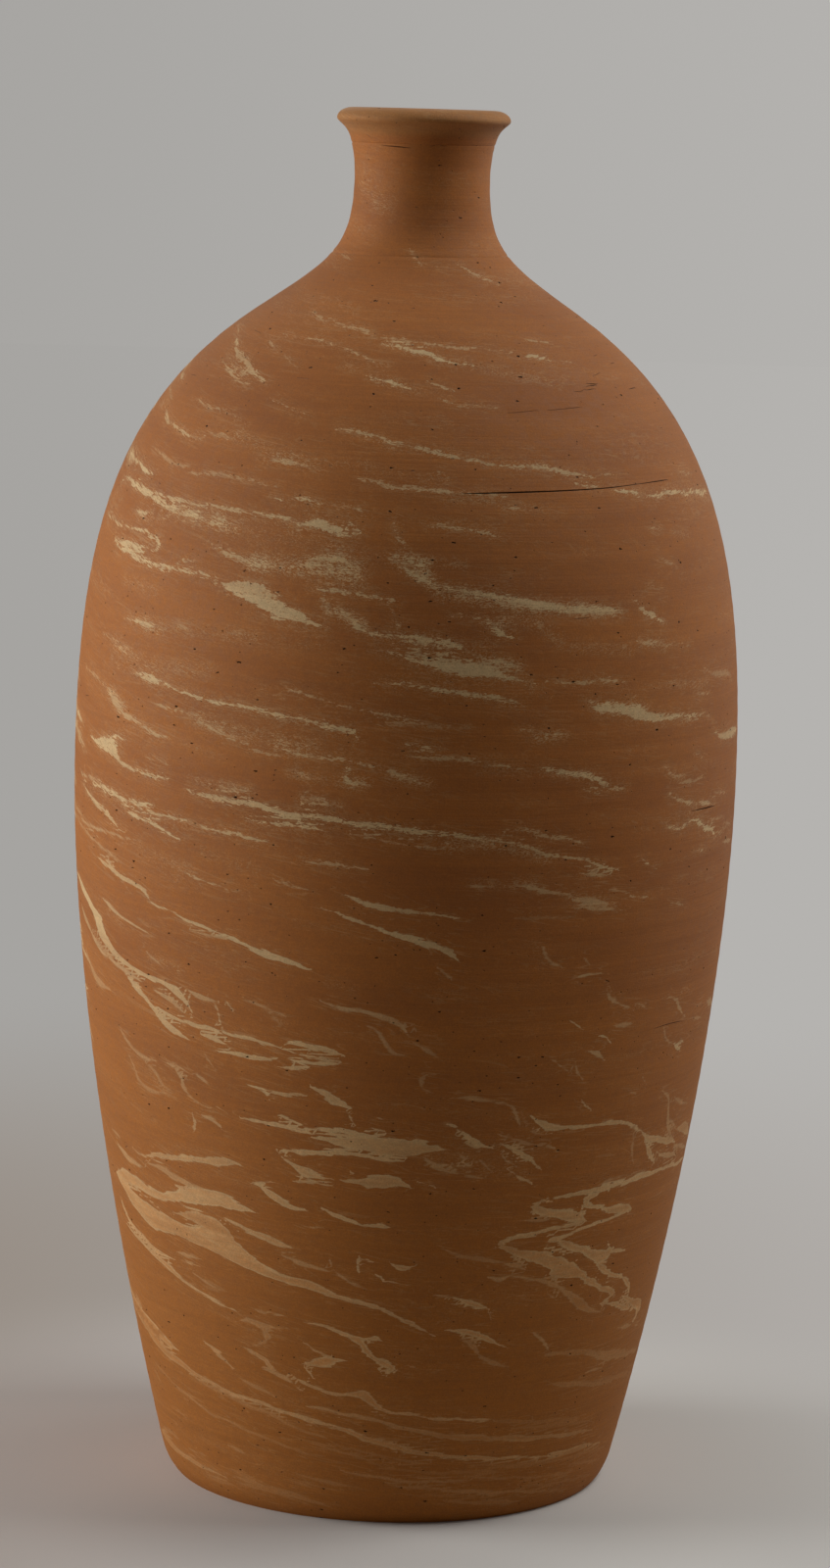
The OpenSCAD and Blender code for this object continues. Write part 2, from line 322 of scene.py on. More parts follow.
def profile(node, outer_step, inner_step):
    """The section's outline in short steps: a mesh of edges, laid flat for the turning tree, that
    carries how far along the outline each point lies."""
    walk = sections[node]
    closed = walk[0][0] > 0
    ring = walk + [walk[0]] if closed else walk
    headings = [math.atan2(b[1] - a[1], b[0] - a[0]) for a, b in zip(ring, ring[1:])]
    corners = [0]
    for i in range(1, len(headings)):
        bend = (headings[i] - headings[i - 1] + math.pi) % math.tau - math.pi
        if abs(bend) > SHARP:
            corners.append(i)
    corners.append(len(ring) - 1)
    path = [np.array([ring[0]])]
    for a, b in zip(corners, corners[1:]):
        step = outer_step if a < outer_ends.get(node, 0) else inner_step
        path.append(smooth_run(ring[a : b + 1], step)[1:])
    path = np.concatenate(path)
    path[:, 1] = path[:, 1].clip(min(z for _, z in walk), max(z for _, z in walk))
    if closed:
        path = path[:-1]
    steps = np.hypot(*np.diff(path, axis=0).T)
    run = starts.get(node, 0) + np.concatenate([[0], np.cumsum(steps)])
    count = len(path)
    mesh = bpy.data.meshes.new(node)
    mesh.from_pydata(
        [(r / 1000 - WHEEL, -z / 1000, 0) for r, z in path],
        [(i, i + 1) for i in range(count - 1)] + ([(count - 1, 0)] if closed else []), [],
    )
    mesh.attributes.new("run", "FLOAT", "POINT").data.foreach_set("value", run)
    return mesh


# The wheel: it turns a flat profile into a whole piece. The hand leaves it a little out of round,
# with shallow rings that climb as the fingers did.
WHEEL = 1.0
COLUMNS = 384
WOBBLE = 0.0007
RING_DEPTH = 0.00004
RING_PITCH = 0.009

wheel = bpy.data.node_groups.new("Potter's wheel", "GeometryNodeTree")
for name, kind, value in (
    ("Section", "NodeSocketGeometry", None),
    ("Columns", "NodeSocketInt", COLUMNS),
    ("Wobble", "NodeSocketFloat", WOBBLE),
    ("Ring Depth", "NodeSocketFloat", RING_DEPTH),
    ("Ring Pitch", "NodeSocketFloat", RING_PITCH),
    ("Material", "NodeSocketMaterial", None),
):
    socket = wheel.interface.new_socket(name, in_out="INPUT", socket_type=kind)
    if value is not None:
        socket.default_value = value
wheel.interface.new_socket("Piece", in_out="OUTPUT", socket_type="NodeSocketGeometry")
given = add(wheel, "NodeGroupInput").outputs
line = add(wheel, "GeometryNodeMeshToCurve", {"Mesh": given["Section"]})
track = add(
    wheel, "GeometryNodeCurvePrimitiveCircle",
    {"Resolution": given["Columns"], "Radius": WHEEL}, mode="RADIUS",
)
upright = add(wheel, "GeometryNodeSetCurveNormal", {"Curve": track}, mode="Z_UP")
turned = add(wheel, "GeometryNodeCurveToMesh", {"Curve": upright, "Profile Curve": line})
outwards = add(wheel, "GeometryNodeFlipFaces", {"Mesh": turned})
whole = add(wheel, "GeometryNodeMergeByDistance", {"Geometry": outwards, "Distance": 1e-6})
spot = add(wheel, "GeometryNodeInputPosition")
axes = add(wheel, "ShaderNodeSeparateXYZ", {0: spot}).outputs
flat = add(wheel, "ShaderNodeCombineXYZ", {"X": axes["X"], "Y": axes["Y"]})
facing = add(wheel, "ShaderNodeVectorMath", {0: flat}, operation="NORMALIZE")
rise = add(wheel, "ShaderNodeMath", {0: axes["Z"], 1: 9.0}, operation="MULTIPLY")
lifted = add(wheel, "ShaderNodeCombineXYZ", {"Z": rise})
round_about = add(wheel, "ShaderNodeVectorMath", {0: facing, 1: lifted}, operation="ADD")
unsteady = add(
    wheel, "ShaderNodeTexNoise", {"Vector": round_about, "Scale": 0.8, "Detail": 2.0}
).outputs["Fac"]
centred = add(wheel, "ShaderNodeMath", {0: unsteady, 1: 0.5}, operation="SUBTRACT")
wobble = add(wheel, "ShaderNodeMath", {0: centred, 1: given["Wobble"]}, operation="MULTIPLY")
angle = add(wheel, "ShaderNodeMath", {0: axes["Y"], 1: axes["X"]}, operation="ARCTAN2")
turns = add(wheel, "ShaderNodeMath", {0: axes["Z"], 1: given["Ring Pitch"]}, operation="DIVIDE")
phase = add(wheel, "ShaderNodeMath", {0: turns, 1: math.tau, 2: angle}, operation="MULTIPLY_ADD")
wave = add(wheel, "ShaderNodeMath", {0: phase}, operation="SINE")
rings = add(wheel, "ShaderNodeMath", {0: wave, 1: given["Ring Depth"]}, operation="MULTIPLY")
stray = add(wheel, "ShaderNodeMath", {0: wobble, 1: rings}, operation="ADD")
shift = add(wheel, "ShaderNodeVectorMath", {0: facing, "Scale": stray}, operation="SCALE")
thrown = add(wheel, "GeometryNodeSetPosition", {"Geometry": whole, "Offset": shift})
soft = add(wheel, "GeometryNodeSetShadeSmooth", {"Geometry": thrown, "Shade Smooth": True})
bend = add(wheel, "GeometryNodeInputMeshEdgeAngle").outputs["Unsigned Angle"]
keen = add(wheel, "ShaderNodeMath", {0: bend, 1: SHARP}, operation="GREATER_THAN")
edged = add(
    wheel, "GeometryNodeSetShadeSmooth",
    {"Geometry": soft, "Selection": keen, "Shade Smooth": False}, domain="EDGE",
)
real = add(wheel, "GeometryNodeRealizeInstances", {"Geometry": edged})
clad = add(wheel, "GeometryNodeSetMaterial", {"Geometry": real, "Material": given["Material"]})
add(wheel, "NodeGroupOutput", {"Piece": clad})


def throw(node, outer_step, inner_step, columns, material):
    """Turns a piece from its CAD cross-section, and makes the result a plain mesh."""
    piece = bpy.data.objects.new(node + "_thrown", profile(node, outer_step, inner_step))
    scene.collection.objects.link(piece)
    turning = piece.modifiers.new("wheel", "NODES")
    turning.node_group = wheel
    names = {s.name: s.identifier for s in wheel.interface.items_tree if s.item_type == "SOCKET"}
    turning[names["Columns"]] = columns
    turning[names["Material"]] = material
    made = bpy.data.meshes.new_from_object(piece.evaluated_get(bpy.context.evaluated_depsgraph_get()))
    piece.modifiers.clear()
    piece.data = made
    made.name = piece.name
    return piece


# Marbling
# Two bodies of clay, brown and buff, were wedged together a few turns and not mixed through.
# Throwing draws the buff out into streaks that run round the wall and fall to the right.
# A streak: its points as degrees round from the front and height in mm, half its width in mm, and
# its paleness. A cloud is a stretch where fine crumbs of buff are thick, told in the same way.
FOOT_STREAKS = [
    ([(-79, 16.5), (-76, 17.3), (-72, 16.8), (-68.5, 15), (-65, 14.3), (-60, 13.8), (-51.7, 12.6),
      (-43.3, 10.8)], [1, 2, 2.3, 1.9, 1.3, 1, 0.9, 0.7], 0.45),
    ([(-40, 13), (-31.7, 12), (-25, 10.6), (-18.3, 8), (-13.3, 5.7)], 1, 0.3),
    ([(-39, 10), (-31.7, 10), (-23.3, 8)], 1.1, 0.25),
    ([(-72.5, 21), (-66.7, 22), (-62, 21)], 1.2, 0.25),
    ([(-57.5, 18.8), (-51, 19)], 0.9, 0.3),
    ([(-50, 8), (-42, 8)], 0.9, 0.2),
    ([(-42, 16.5), (-34, 15)], 0.9, 0.2),
    ([(-21.7, 20.7), (-13.3, 18), (-6.7, 17)], 0.8, 0.25),
    ([(-23.3, 17), (-18, 15.3)], 0.8, 0.2),
    ([(-10, 23.8), (-1.7, 22.5), (4.2, 21), (12, 20.6), (20, 20)], [0.6, 0.7, 0.6, 0.5, 0.5], 0.35),
    ([(1, 18.8), (5, 18.1), (10, 17.4), (15, 15.8), (21.7, 14.4), (28.3, 13), (33.3, 12), (40, 9.8),
      (46.7, 7.5), (53.3, 5.7)], [0.6, 0.9, 0.6, 0.5, 0.6, 0.7, 0.6, 0.6, 0.7, 0.6], 0.4),
    ([(15, 10), (21.7, 8.8), (30, 7), (36.7, 6)], [0.7, 1.1, 1.3, 0.9], 0.3),
    ([(45, 8.8), (53.3, 6)], 0.9, 0.3),
    ([(20, 22), (30, 19.5), (41.7, 17), (52, 15)], 0.6, 0.25),
    ([(10, 14), (24, 11)], 0.5, 0.2),
    ([(35, 14), (50, 11), (62, 9)], 0.7, 0.2),
    ([(52, 19), (66, 15)], 0.8, 0.2),
]
FOOT_CLOUDS = [([(-55, 12), (-20, 9)], 4, 0.2), ([(10, 14), (50, 8)], 4, 0.2)]

# How far from a streak its distance is still kept, and how far its line may wander, in mm
REACH = 12.0
WANDER = 0.5
STREAK_STEP = 4.0


def laid_out(points, half):
    """A streak's path on the opened-out wall: degrees round, run and half width, every few mm."""
    path = np.array(points, float)
    turn, height = path.T
    radius = np.interp(height, outline[:, 1], outline[:, 0])
    run = np.interp(height, outline[:, 1], outline[:, 2])
    middle = radius.mean()
    widths = np.broadcast_to(half, len(path)).astype(float)
    path = smooth_run(np.stack([np.radians(turn) * middle, run, widths], 1), STREAK_STEP)
    return np.degrees(path[:, 0] / middle), path[:, 1], path[:, 2]


def tapered(turn, run, widths, wander):
    """The same path, strayed a little from side to side, and drawn thin at its ends."""
    gone = np.concatenate([[0], np.cumsum(np.hypot(np.diff(np.radians(turn) * 100), np.diff(run)))])
    stray = wander * np.sin(gone / 5 + turn[0]) * np.sin(gone / 8.3 + run[0]) * min(1, gone[-1] / 40)
    from_end = np.minimum(gone, gone[-1] - gone)
    return turn, run + stray, widths * np.minimum(1, 0.2 + from_end / (2 * widths + 6))


def lay(streaks, around, run, radius, wander):
    """Distance in mm from each corner to its nearest streak, with its side and without, and the
    streak's half width and paleness there."""
    side, plain = np.full(len(run), REACH), np.full(len(run), REACH)
    width, pale = np.zeros(len(run)), np.zeros(len(run))
    for points, half, paleness in streaks:
        turned, across, halves = tapered(*laid_out(points, half), wander)
        apart = (around - turned.mean() + 180) % 360 - 180
        near = np.flatnonzero(
            (run > across.min() - REACH) & (run < across.max() + REACH)
            & (np.abs(apart) * radius < (np.ptp(turned) / 2 + 2) * radius + math.degrees(REACH))
        )
        if not len(near):
            continue
        per_degree = np.radians(1) * radius[near]
        x = (turned[:, None] - turned.mean() - apart[near]) * per_degree
        y = across[:, None] - run[near]
        step_x, step_y = np.diff(x, axis=0), np.diff(y, axis=0)
        share = -(x[:-1] * step_x + y[:-1] * step_y) / (step_x**2 + step_y**2 + 1e-9)
        share = share.clip(0, 1)
        to_x, to_y = x[:-1] + share * step_x, y[:-1] + share * step_y
        away = np.hypot(to_x, to_y)
        wide = halves[:-1, None] + share * np.diff(halves)[:, None]
        best = np.argmin(away - wide, axis=0)
        pick = (best, np.arange(len(near)))
        signed = away[pick] * np.sign(step_x * to_y - step_y * to_x + 1e-12)[pick]
        nearer = away[pick] - wide[pick] < plain[near] - width[near]
        kept = near[nearer]
        side[kept], plain[kept] = signed[nearer], away[pick][nearer]
        width[kept], pale[kept] = wide[pick][nearer], paleness
    return side, plain, width, pale


def gather(clouds, around, run, radius):
    """How thick the crumbs of buff lie at each corner, from 0 to 1: clouds have no edges, and add up."""
    thick = np.zeros(len(run))
    for points, half, strength in clouds:
        turned, across, halves = laid_out(points, half)
        reach = 2 * halves.max()
        apart = (around - turned.mean() + 180) % 360 - 180
        near = np.flatnonzero(
            (run > across.min() - reach) & (run < across.max() + reach)
            & (np.abs(apart) * radius < np.ptp(turned) / 2 * radius + math.degrees(reach))
        )
        if not len(near):
            continue
        x = (turned[:, None] - turned.mean() - apart[near]) * np.radians(1) * radius[near]
        away = np.hypot(x, across[:, None] - run[near]) / halves[:, None]
        thick[near] += strength * np.exp(-(away.min(axis=0) ** 2) * 1.5)
    return thick.clip(0, 1)


# Threads of clay fall round the wall as on a screw: the grain's first two axes go once round for
# each turn, and the others follow the wall round, so that it has no seam.
STEEPNESS = 0.15
LOWER_LEFT_BEND = 16.0
LIP_RUN = 400.0


def grain_of(around, run, radius, height):
    """Four lengths in mm for each corner: two across the fall of the clay and two along it."""
    climb = np.concatenate([[0], np.cumsum(
        np.diff(outline[:, 2]) / (STEEPNESS * np.maximum(20, (outline[1:, 0] + outline[:-1, 0]) / 2))
    )])
    far = outline[-1, 2] + LIP_RUN
    climbed = np.interp(run, [*outline[:, 2], far], [*climb, climb[-1] + LIP_RUN / STEEPNESS / 25])
    wide = STEEPNESS * np.interp(run, outline[:, 2], np.maximum(20, outline[:, 0]))
    turn = np.radians(around)
    bent = LOWER_LEFT_BEND * np.cos(turn) * np.interp(height, [0, 60, 200, 330], [0.2, 1, 1, 0.2])
    phase = turn + climbed + bent / wide
    return wide * np.cos(phase), wide * np.sin(phase), radius * np.cos(turn) + 3 * height, \
        radius * np.sin(turn)


# Hairline cracks, and scratches where the rib dragged grit along
CRACKS = [
    ([(9, 445), (20, 445.7), (30, 446.2), (40, 446.8), (50, 447.8), (59, 448.4)],
     [0.15, 0.3, 0.22, 0.15, 0.08, 0.25], 1),
    ([(57, 309.6), (61, 309.5), (66, 309.3)], [0.1, 0.2, 0.3], 1),
    ([(52, 217), (57, 217.4), (61.5, 216.8)], 0.1, 1),
    ([(21, 477), (28, 478)], 0.05, 1),
    ([(31, 478), (40, 479)], 0.05, 1),
    ([(46.5, 488), (50, 487.8)], 0.25, 1),
    ([(44.5, 485.5), (48, 486)], 0.15, 1),
    ([(51, 491), (54, 492)], 0.1, 1),
    ([(63, 485), (67, 485.3)], 0.2, 1),
    ([(64, 495), (66, 495.6)], 0.15, 1),
    ([(58, 498.5), (60, 499)], 0.12, 1),
    ([(41, 485), (43, 485.3)], 0.12, 1),
    ([(29, 394.6), (32, 394.8)], 0.12, 1),
    ([(-71, 485), (-68, 485)], 0.15, 1),
    ([(-59, 505), (-55, 504.4)], 0.12, 1),
    ([(-30, 488), (-27, 488)], 0.12, 1),
    ([(-73, 347), (-71, 347.3)], 0.15, 1),
    ([(-34, 584.2), (-24, 584), (-12, 583.6)], [0.05, 0.1, 0.2], 1),
    ([(7, 584.6), (9, 584.9)], 0.15, 1),
    ([(14, 585), (16, 584.8)], 0.15, 1),
    ([(-48, 588.3), (-46, 587.6)], 0.2, 1),
]


def marble(piece, streaks, clouds):
    """Writes on each corner of a piece what its clay shader reads: grain, streaks, clouds, cracks."""
    made = piece.data
    count = len(made.vertices)
    place = np.zeros(count * 3, np.float32)
    made.vertices.foreach_get("co", place)
    x, y, z = place.reshape(-1, 3).T.astype(float) * 1000
    run = np.zeros(count, np.float32)
    made.attributes["run"].data.foreach_get("value", run)
    radius = np.hypot(x, y)
    around = np.degrees(np.arctan2(x, -y))
    grain = grain_of(around, run, radius, z)
    side, plain, width, pale = lay(streaks, around, run, radius, WANDER)
    for name, values in (
        ("grain", grain[:3]), ("streak", (side, plain, width)),
        ("crack", lay(CRACKS, around, run, radius, 0)[:3]),
        ("clay", (pale, gather(clouds, around, run, radius), grain[3])),
    ):
        made.attributes.new(name, "FLOAT_VECTOR", "POINT").data.foreach_set(
            "vector", np.stack(values, 1).astype(np.float32).ravel()
        )


# Marbled terracotta
# A common red earthenware fired to about 1000 degrees and left unglazed, so it is matt and a little
# chalky. The surface was smoothed wet with a rib, which leaves faint lines round the wall, small
# pores where grit dragged, and the buff clay as pale as it was dug.
CLAY_DARK = "#9b5a1f"
CLAY = "#a86423"
CLAY_OCHRE = "#a8661f"
CLAY_LIP = "#a9763f"
BUFF = "#d2b180"
BUFF_OCHRE = "#cc8238"
PORE = "#2e1a0c"
DUST = 0.2
DUST_COLOUR = "#e8dccb"
CLAY_ROUGHNESS = 0.78
CLAY_IOR = 1.5
# Heights at which the clay changes from drawn-out slabs below to crumbly threads above
SMOOTH_BELOW = 0.24
CRUMBLY_ABOVE = 0.33

# Noise drawn out along the fall of the clay: its size along and across in mm, detail, distortion
NOISES = {
    "swell": (26, 8, 2, 0),
    "edge": (6, 1.6, 3, 0.3),
    "lace": (3.6, 2.5, 4, 1.5),
    "patch": (60, 13, 2, 0.4),
    "tone": (90, 26, 3, 0),
    "thread": (42, 4.2, 2, 0.6),
    "fibre": (14, 0.8, 3, 0.2),
    "crumb": (1.5, 1.25, 3, 0.8),
    "curl": (7, 5, 3, 1.8),
}

clay = bpy.data.materials.new("Marbled terracotta")
clay.use_nodes = True
tree = clay.node_tree
tree.nodes.clear()
grain = add(tree, "ShaderNodeAttribute", attribute_name="grain").outputs["Vector"]
streak = add(
    tree, "ShaderNodeSeparateXYZ",
    {0: add(tree, "ShaderNodeAttribute", attribute_name="streak").outputs["Vector"]},
).outputs
mixed_in = add(
    tree, "ShaderNodeSeparateXYZ",
    {0: add(tree, "ShaderNodeAttribute", attribute_name="clay").outputs["Vector"]},
).outputs
crack = add(
    tree, "ShaderNodeSeparateXYZ",
    {0: add(tree, "ShaderNodeAttribute", attribute_name="crack").outputs["Vector"]},
).outputs
spot = add(tree, "ShaderNodeTexCoord").outputs["Object"]
height = add(tree, "ShaderNodeSeparateXYZ", {0: spot}).outputs["Z"]
noise = {}
for name, (along, across, detail, distortion) in NOISES.items():
    scaled = add(
        tree, "ShaderNodeMapping", {"Vector": grain, "Scale": (1 / across, 1 / across, 1 / along)}
    )
    fourth = add(tree, "ShaderNodeMath", {0: mixed_in["Z"], 1: 1 / along}, operation="MULTIPLY")
    noise[name] = add(
        tree, "ShaderNodeTexNoise",
        {"Vector": scaled, "W": fourth, "Scale": 1.0, "Detail": detail, "Distortion": distortion},
        noise_dimensions="4D",
    ).outputs["Fac"]

# Lines of the rib are level, and grit has no direction
level = add(tree, "ShaderNodeMapping", {"Vector": spot, "Scale": (5, 5, 1100)})
rib_noise = add(tree, "ShaderNodeTexNoise", {"Vector": level, "Scale": 1.0, "Detail": 2.0}).outputs["Fac"]
grit_noise = add(
    tree, "ShaderNodeTexNoise", {"Vector": spot, "Scale": 1500.0, "Detail": 2.0}
).outputs["Fac"]
mottle = add(
    tree, "ShaderNodeTexNoise", {"Vector": spot, "Scale": 330.0, "Detail": 3.0}
).outputs["Fac"]

crumbly = add(
    tree, "ShaderNodeMapRange",
    {"Value": height, "From Min": SMOOTH_BELOW, "From Max": CRUMBLY_ABOVE},
    interpolation_type="SMOOTHSTEP",
)
# Distance from the streak's middle line. The unsigned distance keeps the line from showing again
# half way between two streaks, where the side changes.
beside = add(tree, "ShaderNodeMath", {0: streak["X"]}, operation="ABSOLUTE")
clear = add(tree, "ShaderNodeMath", {0: streak["Y"], 1: 1.1}, operation="SUBTRACT")
off_line = add(tree, "ShaderNodeMath", {0: beside, 1: clear}, operation="MAXIMUM")
swell = add(
    tree, "ShaderNodeMapRange",
    {"Value": noise["swell"], "From Min": 0.3, "From Max": 0.7, "To Min": 0.5, "To Max": 1.5},
)
half = add(tree, "ShaderNodeMath", {0: streak["Z"], 1: swell}, operation="MULTIPLY")
bare = add(tree, "ShaderNodeMath", {0: off_line, 1: half}, operation="SUBTRACT")
ragged = add(
    tree, "ShaderNodeMapRange",
    {"Value": noise["edge"], "From Min": 0.25, "From Max": 0.75, "To Min": -0.8, "To Max": 0.8},
)
rough_edge = add(tree, "ShaderNodeMath", {0: bare, 1: ragged}, operation="ADD")
torn = add(
    tree, "ShaderNodeMapRange",
    {"Value": noise["lace"], "From Min": 0.38, "From Max": 0.62, "To Min": -0.6, "To Max": 1.3},
)
torn_here = add(tree, "ShaderNodeMath", {0: torn, 1: crumbly}, operation="MULTIPLY")
edge_at = add(tree, "ShaderNodeMath", {0: rough_edge, 1: torn_here}, operation="ADD")
# A pale streak has a crisp edge and a faint one a soft edge
softness = add(
    tree, "ShaderNodeMapRange",
    {"Value": mixed_in["X"], "From Min": 0.3, "From Max": 0.8, "To Min": 0.7, "To Max": 0.25},
)
inner = add(tree, "ShaderNodeMath", {0: softness, 1: -1.0}, operation="MULTIPLY")
vein = add(
    tree, "ShaderNodeMapRange", {"Value": edge_at, "From Min": softness, "From Max": inner},
    interpolation_type="SMOOTHSTEP",
)
fade = add(
    tree, "ShaderNodeMapRange",
    {"Value": noise["patch"], "From Min": 0.35, "From Max": 0.55, "To Min": 0.8, "To Max": 1.15},
)
faded = add(tree, "ShaderNodeMath", {0: mixed_in["X"], 1: fade}, operation="MULTIPLY")
speckle = add(
    tree, "ShaderNodeMapRange",
    {"Value": noise["crumb"], "From Min": 0.34, "From Max": 0.44, "To Min": -0.65, "To Max": 0.05},
)
speckle_here = add(tree, "ShaderNodeMath", {0: speckle, 1: crumbly, 2: 1.0}, operation="MULTIPLY_ADD")
speckled = add(tree, "ShaderNodeMath", {0: faded, 1: speckle_here}, operation="MULTIPLY")
vein_pale = add(tree, "ShaderNodeMath", {0: vein, 1: speckled}, operation="MULTIPLY")

# Crumbs of buff, thick in the clouds and round the crumbly streaks, and thin elsewhere
halo = add(
    tree, "ShaderNodeMapRange", {"Value": bare, "From Min": 5.0, "From Max": 0.0, "To Max": 0.4},
)
halo_here = add(tree, "ShaderNodeMath", {0: halo, 1: faded}, operation="MULTIPLY")
halo_up = add(tree, "ShaderNodeMath", {0: halo_here, 1: crumbly}, operation="MULTIPLY")
thin = add(
    tree, "ShaderNodeMapRange",
    {"Value": noise["patch"], "From Min": 0.5, "From Max": 0.7, "To Max": 0.2},
)
thick = add(tree, "ShaderNodeMath", {0: mixed_in["Y"], 1: halo_up}, operation="ADD")
thicker = add(tree, "ShaderNodeMath", {0: thick, 1: thin}, operation="ADD")
crumb_size = add(tree, "ShaderNodeMix", {"Factor": 0.6, "A": noise["lace"], "B": noise["crumb"]})
crumb_level = add(
    tree, "ShaderNodeMath", {0: thicker, 1: 0.16, 2: crumb_size}, operation="MULTIPLY_ADD"
)
crumbs = add(
    tree, "ShaderNodeMapRange", {"Value": crumb_level, "From Min": 0.615, "From Max": 0.67}
)
curls_in = add(tree, "ShaderNodeMath", {0: noise["curl"], 1: 7.0}, operation="MULTIPLY")
curl_fold = add(tree, "ShaderNodeMath", {0: curls_in, 1: 0.5}, operation="PINGPONG")
curls = add(
    tree, "ShaderNodeMapRange", {"Value": curl_fold, "From Min": 0.13, "From Max": 0.05, "To Max": 0.9}
)
haze = add(tree, "ShaderNodeMath", {0: crumbs, 1: curls}, operation="MAXIMUM")
haze_top = add(tree, "ShaderNodeMath", {0: thicker, 1: 1.0}, operation="MINIMUM")
haze_here = add(tree, "ShaderNodeMath", {0: haze, 1: haze_top}, operation="MULTIPLY")

# Threads: thin faint lines along the levels of a drawn-out noise, thickest where buff is near
levels = add(tree, "ShaderNodeMath", {0: noise["thread"], 1: 9.0}, operation="MULTIPLY")
folded = add(tree, "ShaderNodeMath", {0: levels, 1: 0.5}, operation="PINGPONG")
thread = add(
    tree, "ShaderNodeMapRange",
    {"Value": folded, "From Min": 0.13, "From Max": 0.02, "To Max": 1.0},
    interpolation_type="SMOOTHSTEP",
)
near_buff = add(
    tree, "ShaderNodeMapRange", {"Value": bare, "From Min": 7.0, "From Max": 1.0, "To Max": 0.2}
)
thread_where = add(
    tree, "ShaderNodeMapRange",
    {"Value": noise["patch"], "From Min": 0.46, "From Max": 0.66, "To Min": 0.02, "To Max": 0.18},
)
thread_most = add(tree, "ShaderNodeMath", {0: near_buff, 1: thread_where}, operation="MAXIMUM")
threads = add(tree, "ShaderNodeMath", {0: thread, 1: thread_most}, operation="MULTIPLY")
fine = add(tree, "ShaderNodeMath", {0: haze_here, 1: threads}, operation="MAXIMUM")
buff_here = add(tree, "ShaderNodeMath", {0: vein_pale, 1: fine}, operation="MAXIMUM")

# The brown clay, with its own slow changes, fibres, mottling and rib lines
tone = add(
    tree, "ShaderNodeMapRange", {"Value": noise["tone"], "From Min": 0.35, "From Max": 0.65}
)
brown = add(
    tree, "ShaderNodeMix", {"Factor": tone, "A": shade(CLAY_DARK), "B": shade(CLAY)},
    data_type="RGBA",
)
low = add(
    tree, "ShaderNodeMapRange",
    {"Value": height, "From Min": 0.3, "From Max": 0.05, "To Max": 0.8},
    interpolation_type="SMOOTHSTEP",
)
wall = add(
    tree, "ShaderNodeMix", {"Factor": low, "A": brown, "B": shade(CLAY_OCHRE)}, data_type="RGBA"
)
lip = add(
    tree, "ShaderNodeMapRange",
    {"Value": height, "From Min": 0.587, "From Max": 0.591, "To Max": 0.6},
    interpolation_type="SMOOTHSTEP",
)
body = add(
    tree, "ShaderNodeMix", {"Factor": lip, "A": wall, "B": shade(CLAY_LIP)}, data_type="RGBA"
)
fibre = add(
    tree, "ShaderNodeMapRange",
    {"Value": noise["fibre"], "From Min": 0.3, "From Max": 0.7, "To Min": 0.97, "To Max": 1.03},
)
sandy = add(
    tree, "ShaderNodeMapRange",
    {"Value": grit_noise, "From Min": 0.3, "From Max": 0.7, "To Min": 0.88, "To Max": 1.12},
)
rib = add(
    tree, "ShaderNodeMapRange",
    {"Value": rib_noise, "From Min": 0.3, "From Max": 0.7, "To Min": 0.96, "To Max": 1.04},
)
mottled = add(
    tree, "ShaderNodeMapRange",
    {"Value": mottle, "From Min": 0.3, "From Max": 0.7, "To Min": 0.94, "To Max": 1.06},
)
uneven = add(tree, "ShaderNodeMath", {0: fibre, 1: rib}, operation="MULTIPLY")
uneven_all = add(tree, "ShaderNodeMath", {0: uneven, 1: mottled}, operation="MULTIPLY")

# The buff clay: pale at a slab's edge, and stained ochre inside the thick slabs of the lower half
deep = add(
    tree, "ShaderNodeMapRange", {"Value": edge_at, "From Min": 0.0, "From Max": -1.2},
    interpolation_type="SMOOTHSTEP",
)
stain = add(
    tree, "ShaderNodeMapRange",
    {"Value": noise["edge"], "From Min": 0.4, "From Max": 0.6, "To Min": 0.7, "To Max": 1.0},
)
stained_in = add(tree, "ShaderNodeMath", {0: deep, 1: stain}, operation="MULTIPLY")
stained_most = add(tree, "ShaderNodeMath", {0: stained_in, 1: 0.35}, operation="MAXIMUM")
stained = add(tree, "ShaderNodeMath", {0: stained_most, 1: low}, operation="MULTIPLY")
buff = add(
    tree, "ShaderNodeMix", {"Factor": stained, "A": shade(BUFF), "B": shade(BUFF_OCHRE)},
    data_type="RGBA",
)
marbled = add(
    tree, "ShaderNodeMix", {"Factor": buff_here, "A": body, "B": buff}, data_type="RGBA"
)
grainy = add(tree, "ShaderNodeMath", {0: uneven_all, 1: sandy}, operation="MULTIPLY")
worked = add(tree, "ShaderNodeVectorMath", {0: marbled, "Scale": grainy}, operation="SCALE")

# Pores: one in some of the cells, drawn out level by the rib, small ones more often than large
pore_cells = add(tree, "ShaderNodeMapping", {"Vector": spot, "Scale": (115, 115, 270)})
pore_cell = add(
    tree, "ShaderNodeTexVoronoi", {"Vector": pore_cells, "Scale": 1.0, "Randomness": 1.0}, feature="F1"
).outputs
pore_chance = add(tree, "ShaderNodeSeparateColor", {0: pore_cell["Color"]}).outputs["Red"]
pore_size = add(
    tree, "ShaderNodeMapRange",
    {"Value": pore_chance, "From Min": 0.3, "From Max": 1.0, "To Max": 0.1},
)
pore_torn = add(
    tree, "ShaderNodeMapRange",
    {"Value": grit_noise, "From Min": 0.3, "From Max": 0.7, "To Min": -0.05, "To Max": 0.05},
)
pore_uneven = add(tree, "ShaderNodeMath", {0: pore_cell["Distance"], 1: pore_torn}, operation="ADD")
pore_edge = add(tree, "ShaderNodeMath", {0: pore_size, 1: pore_uneven}, operation="SUBTRACT")
pore = add(
    tree, "ShaderNodeMapRange", {"Value": pore_edge, "From Min": -0.015, "From Max": 0.02},
    interpolation_type="SMOOTHSTEP",
)
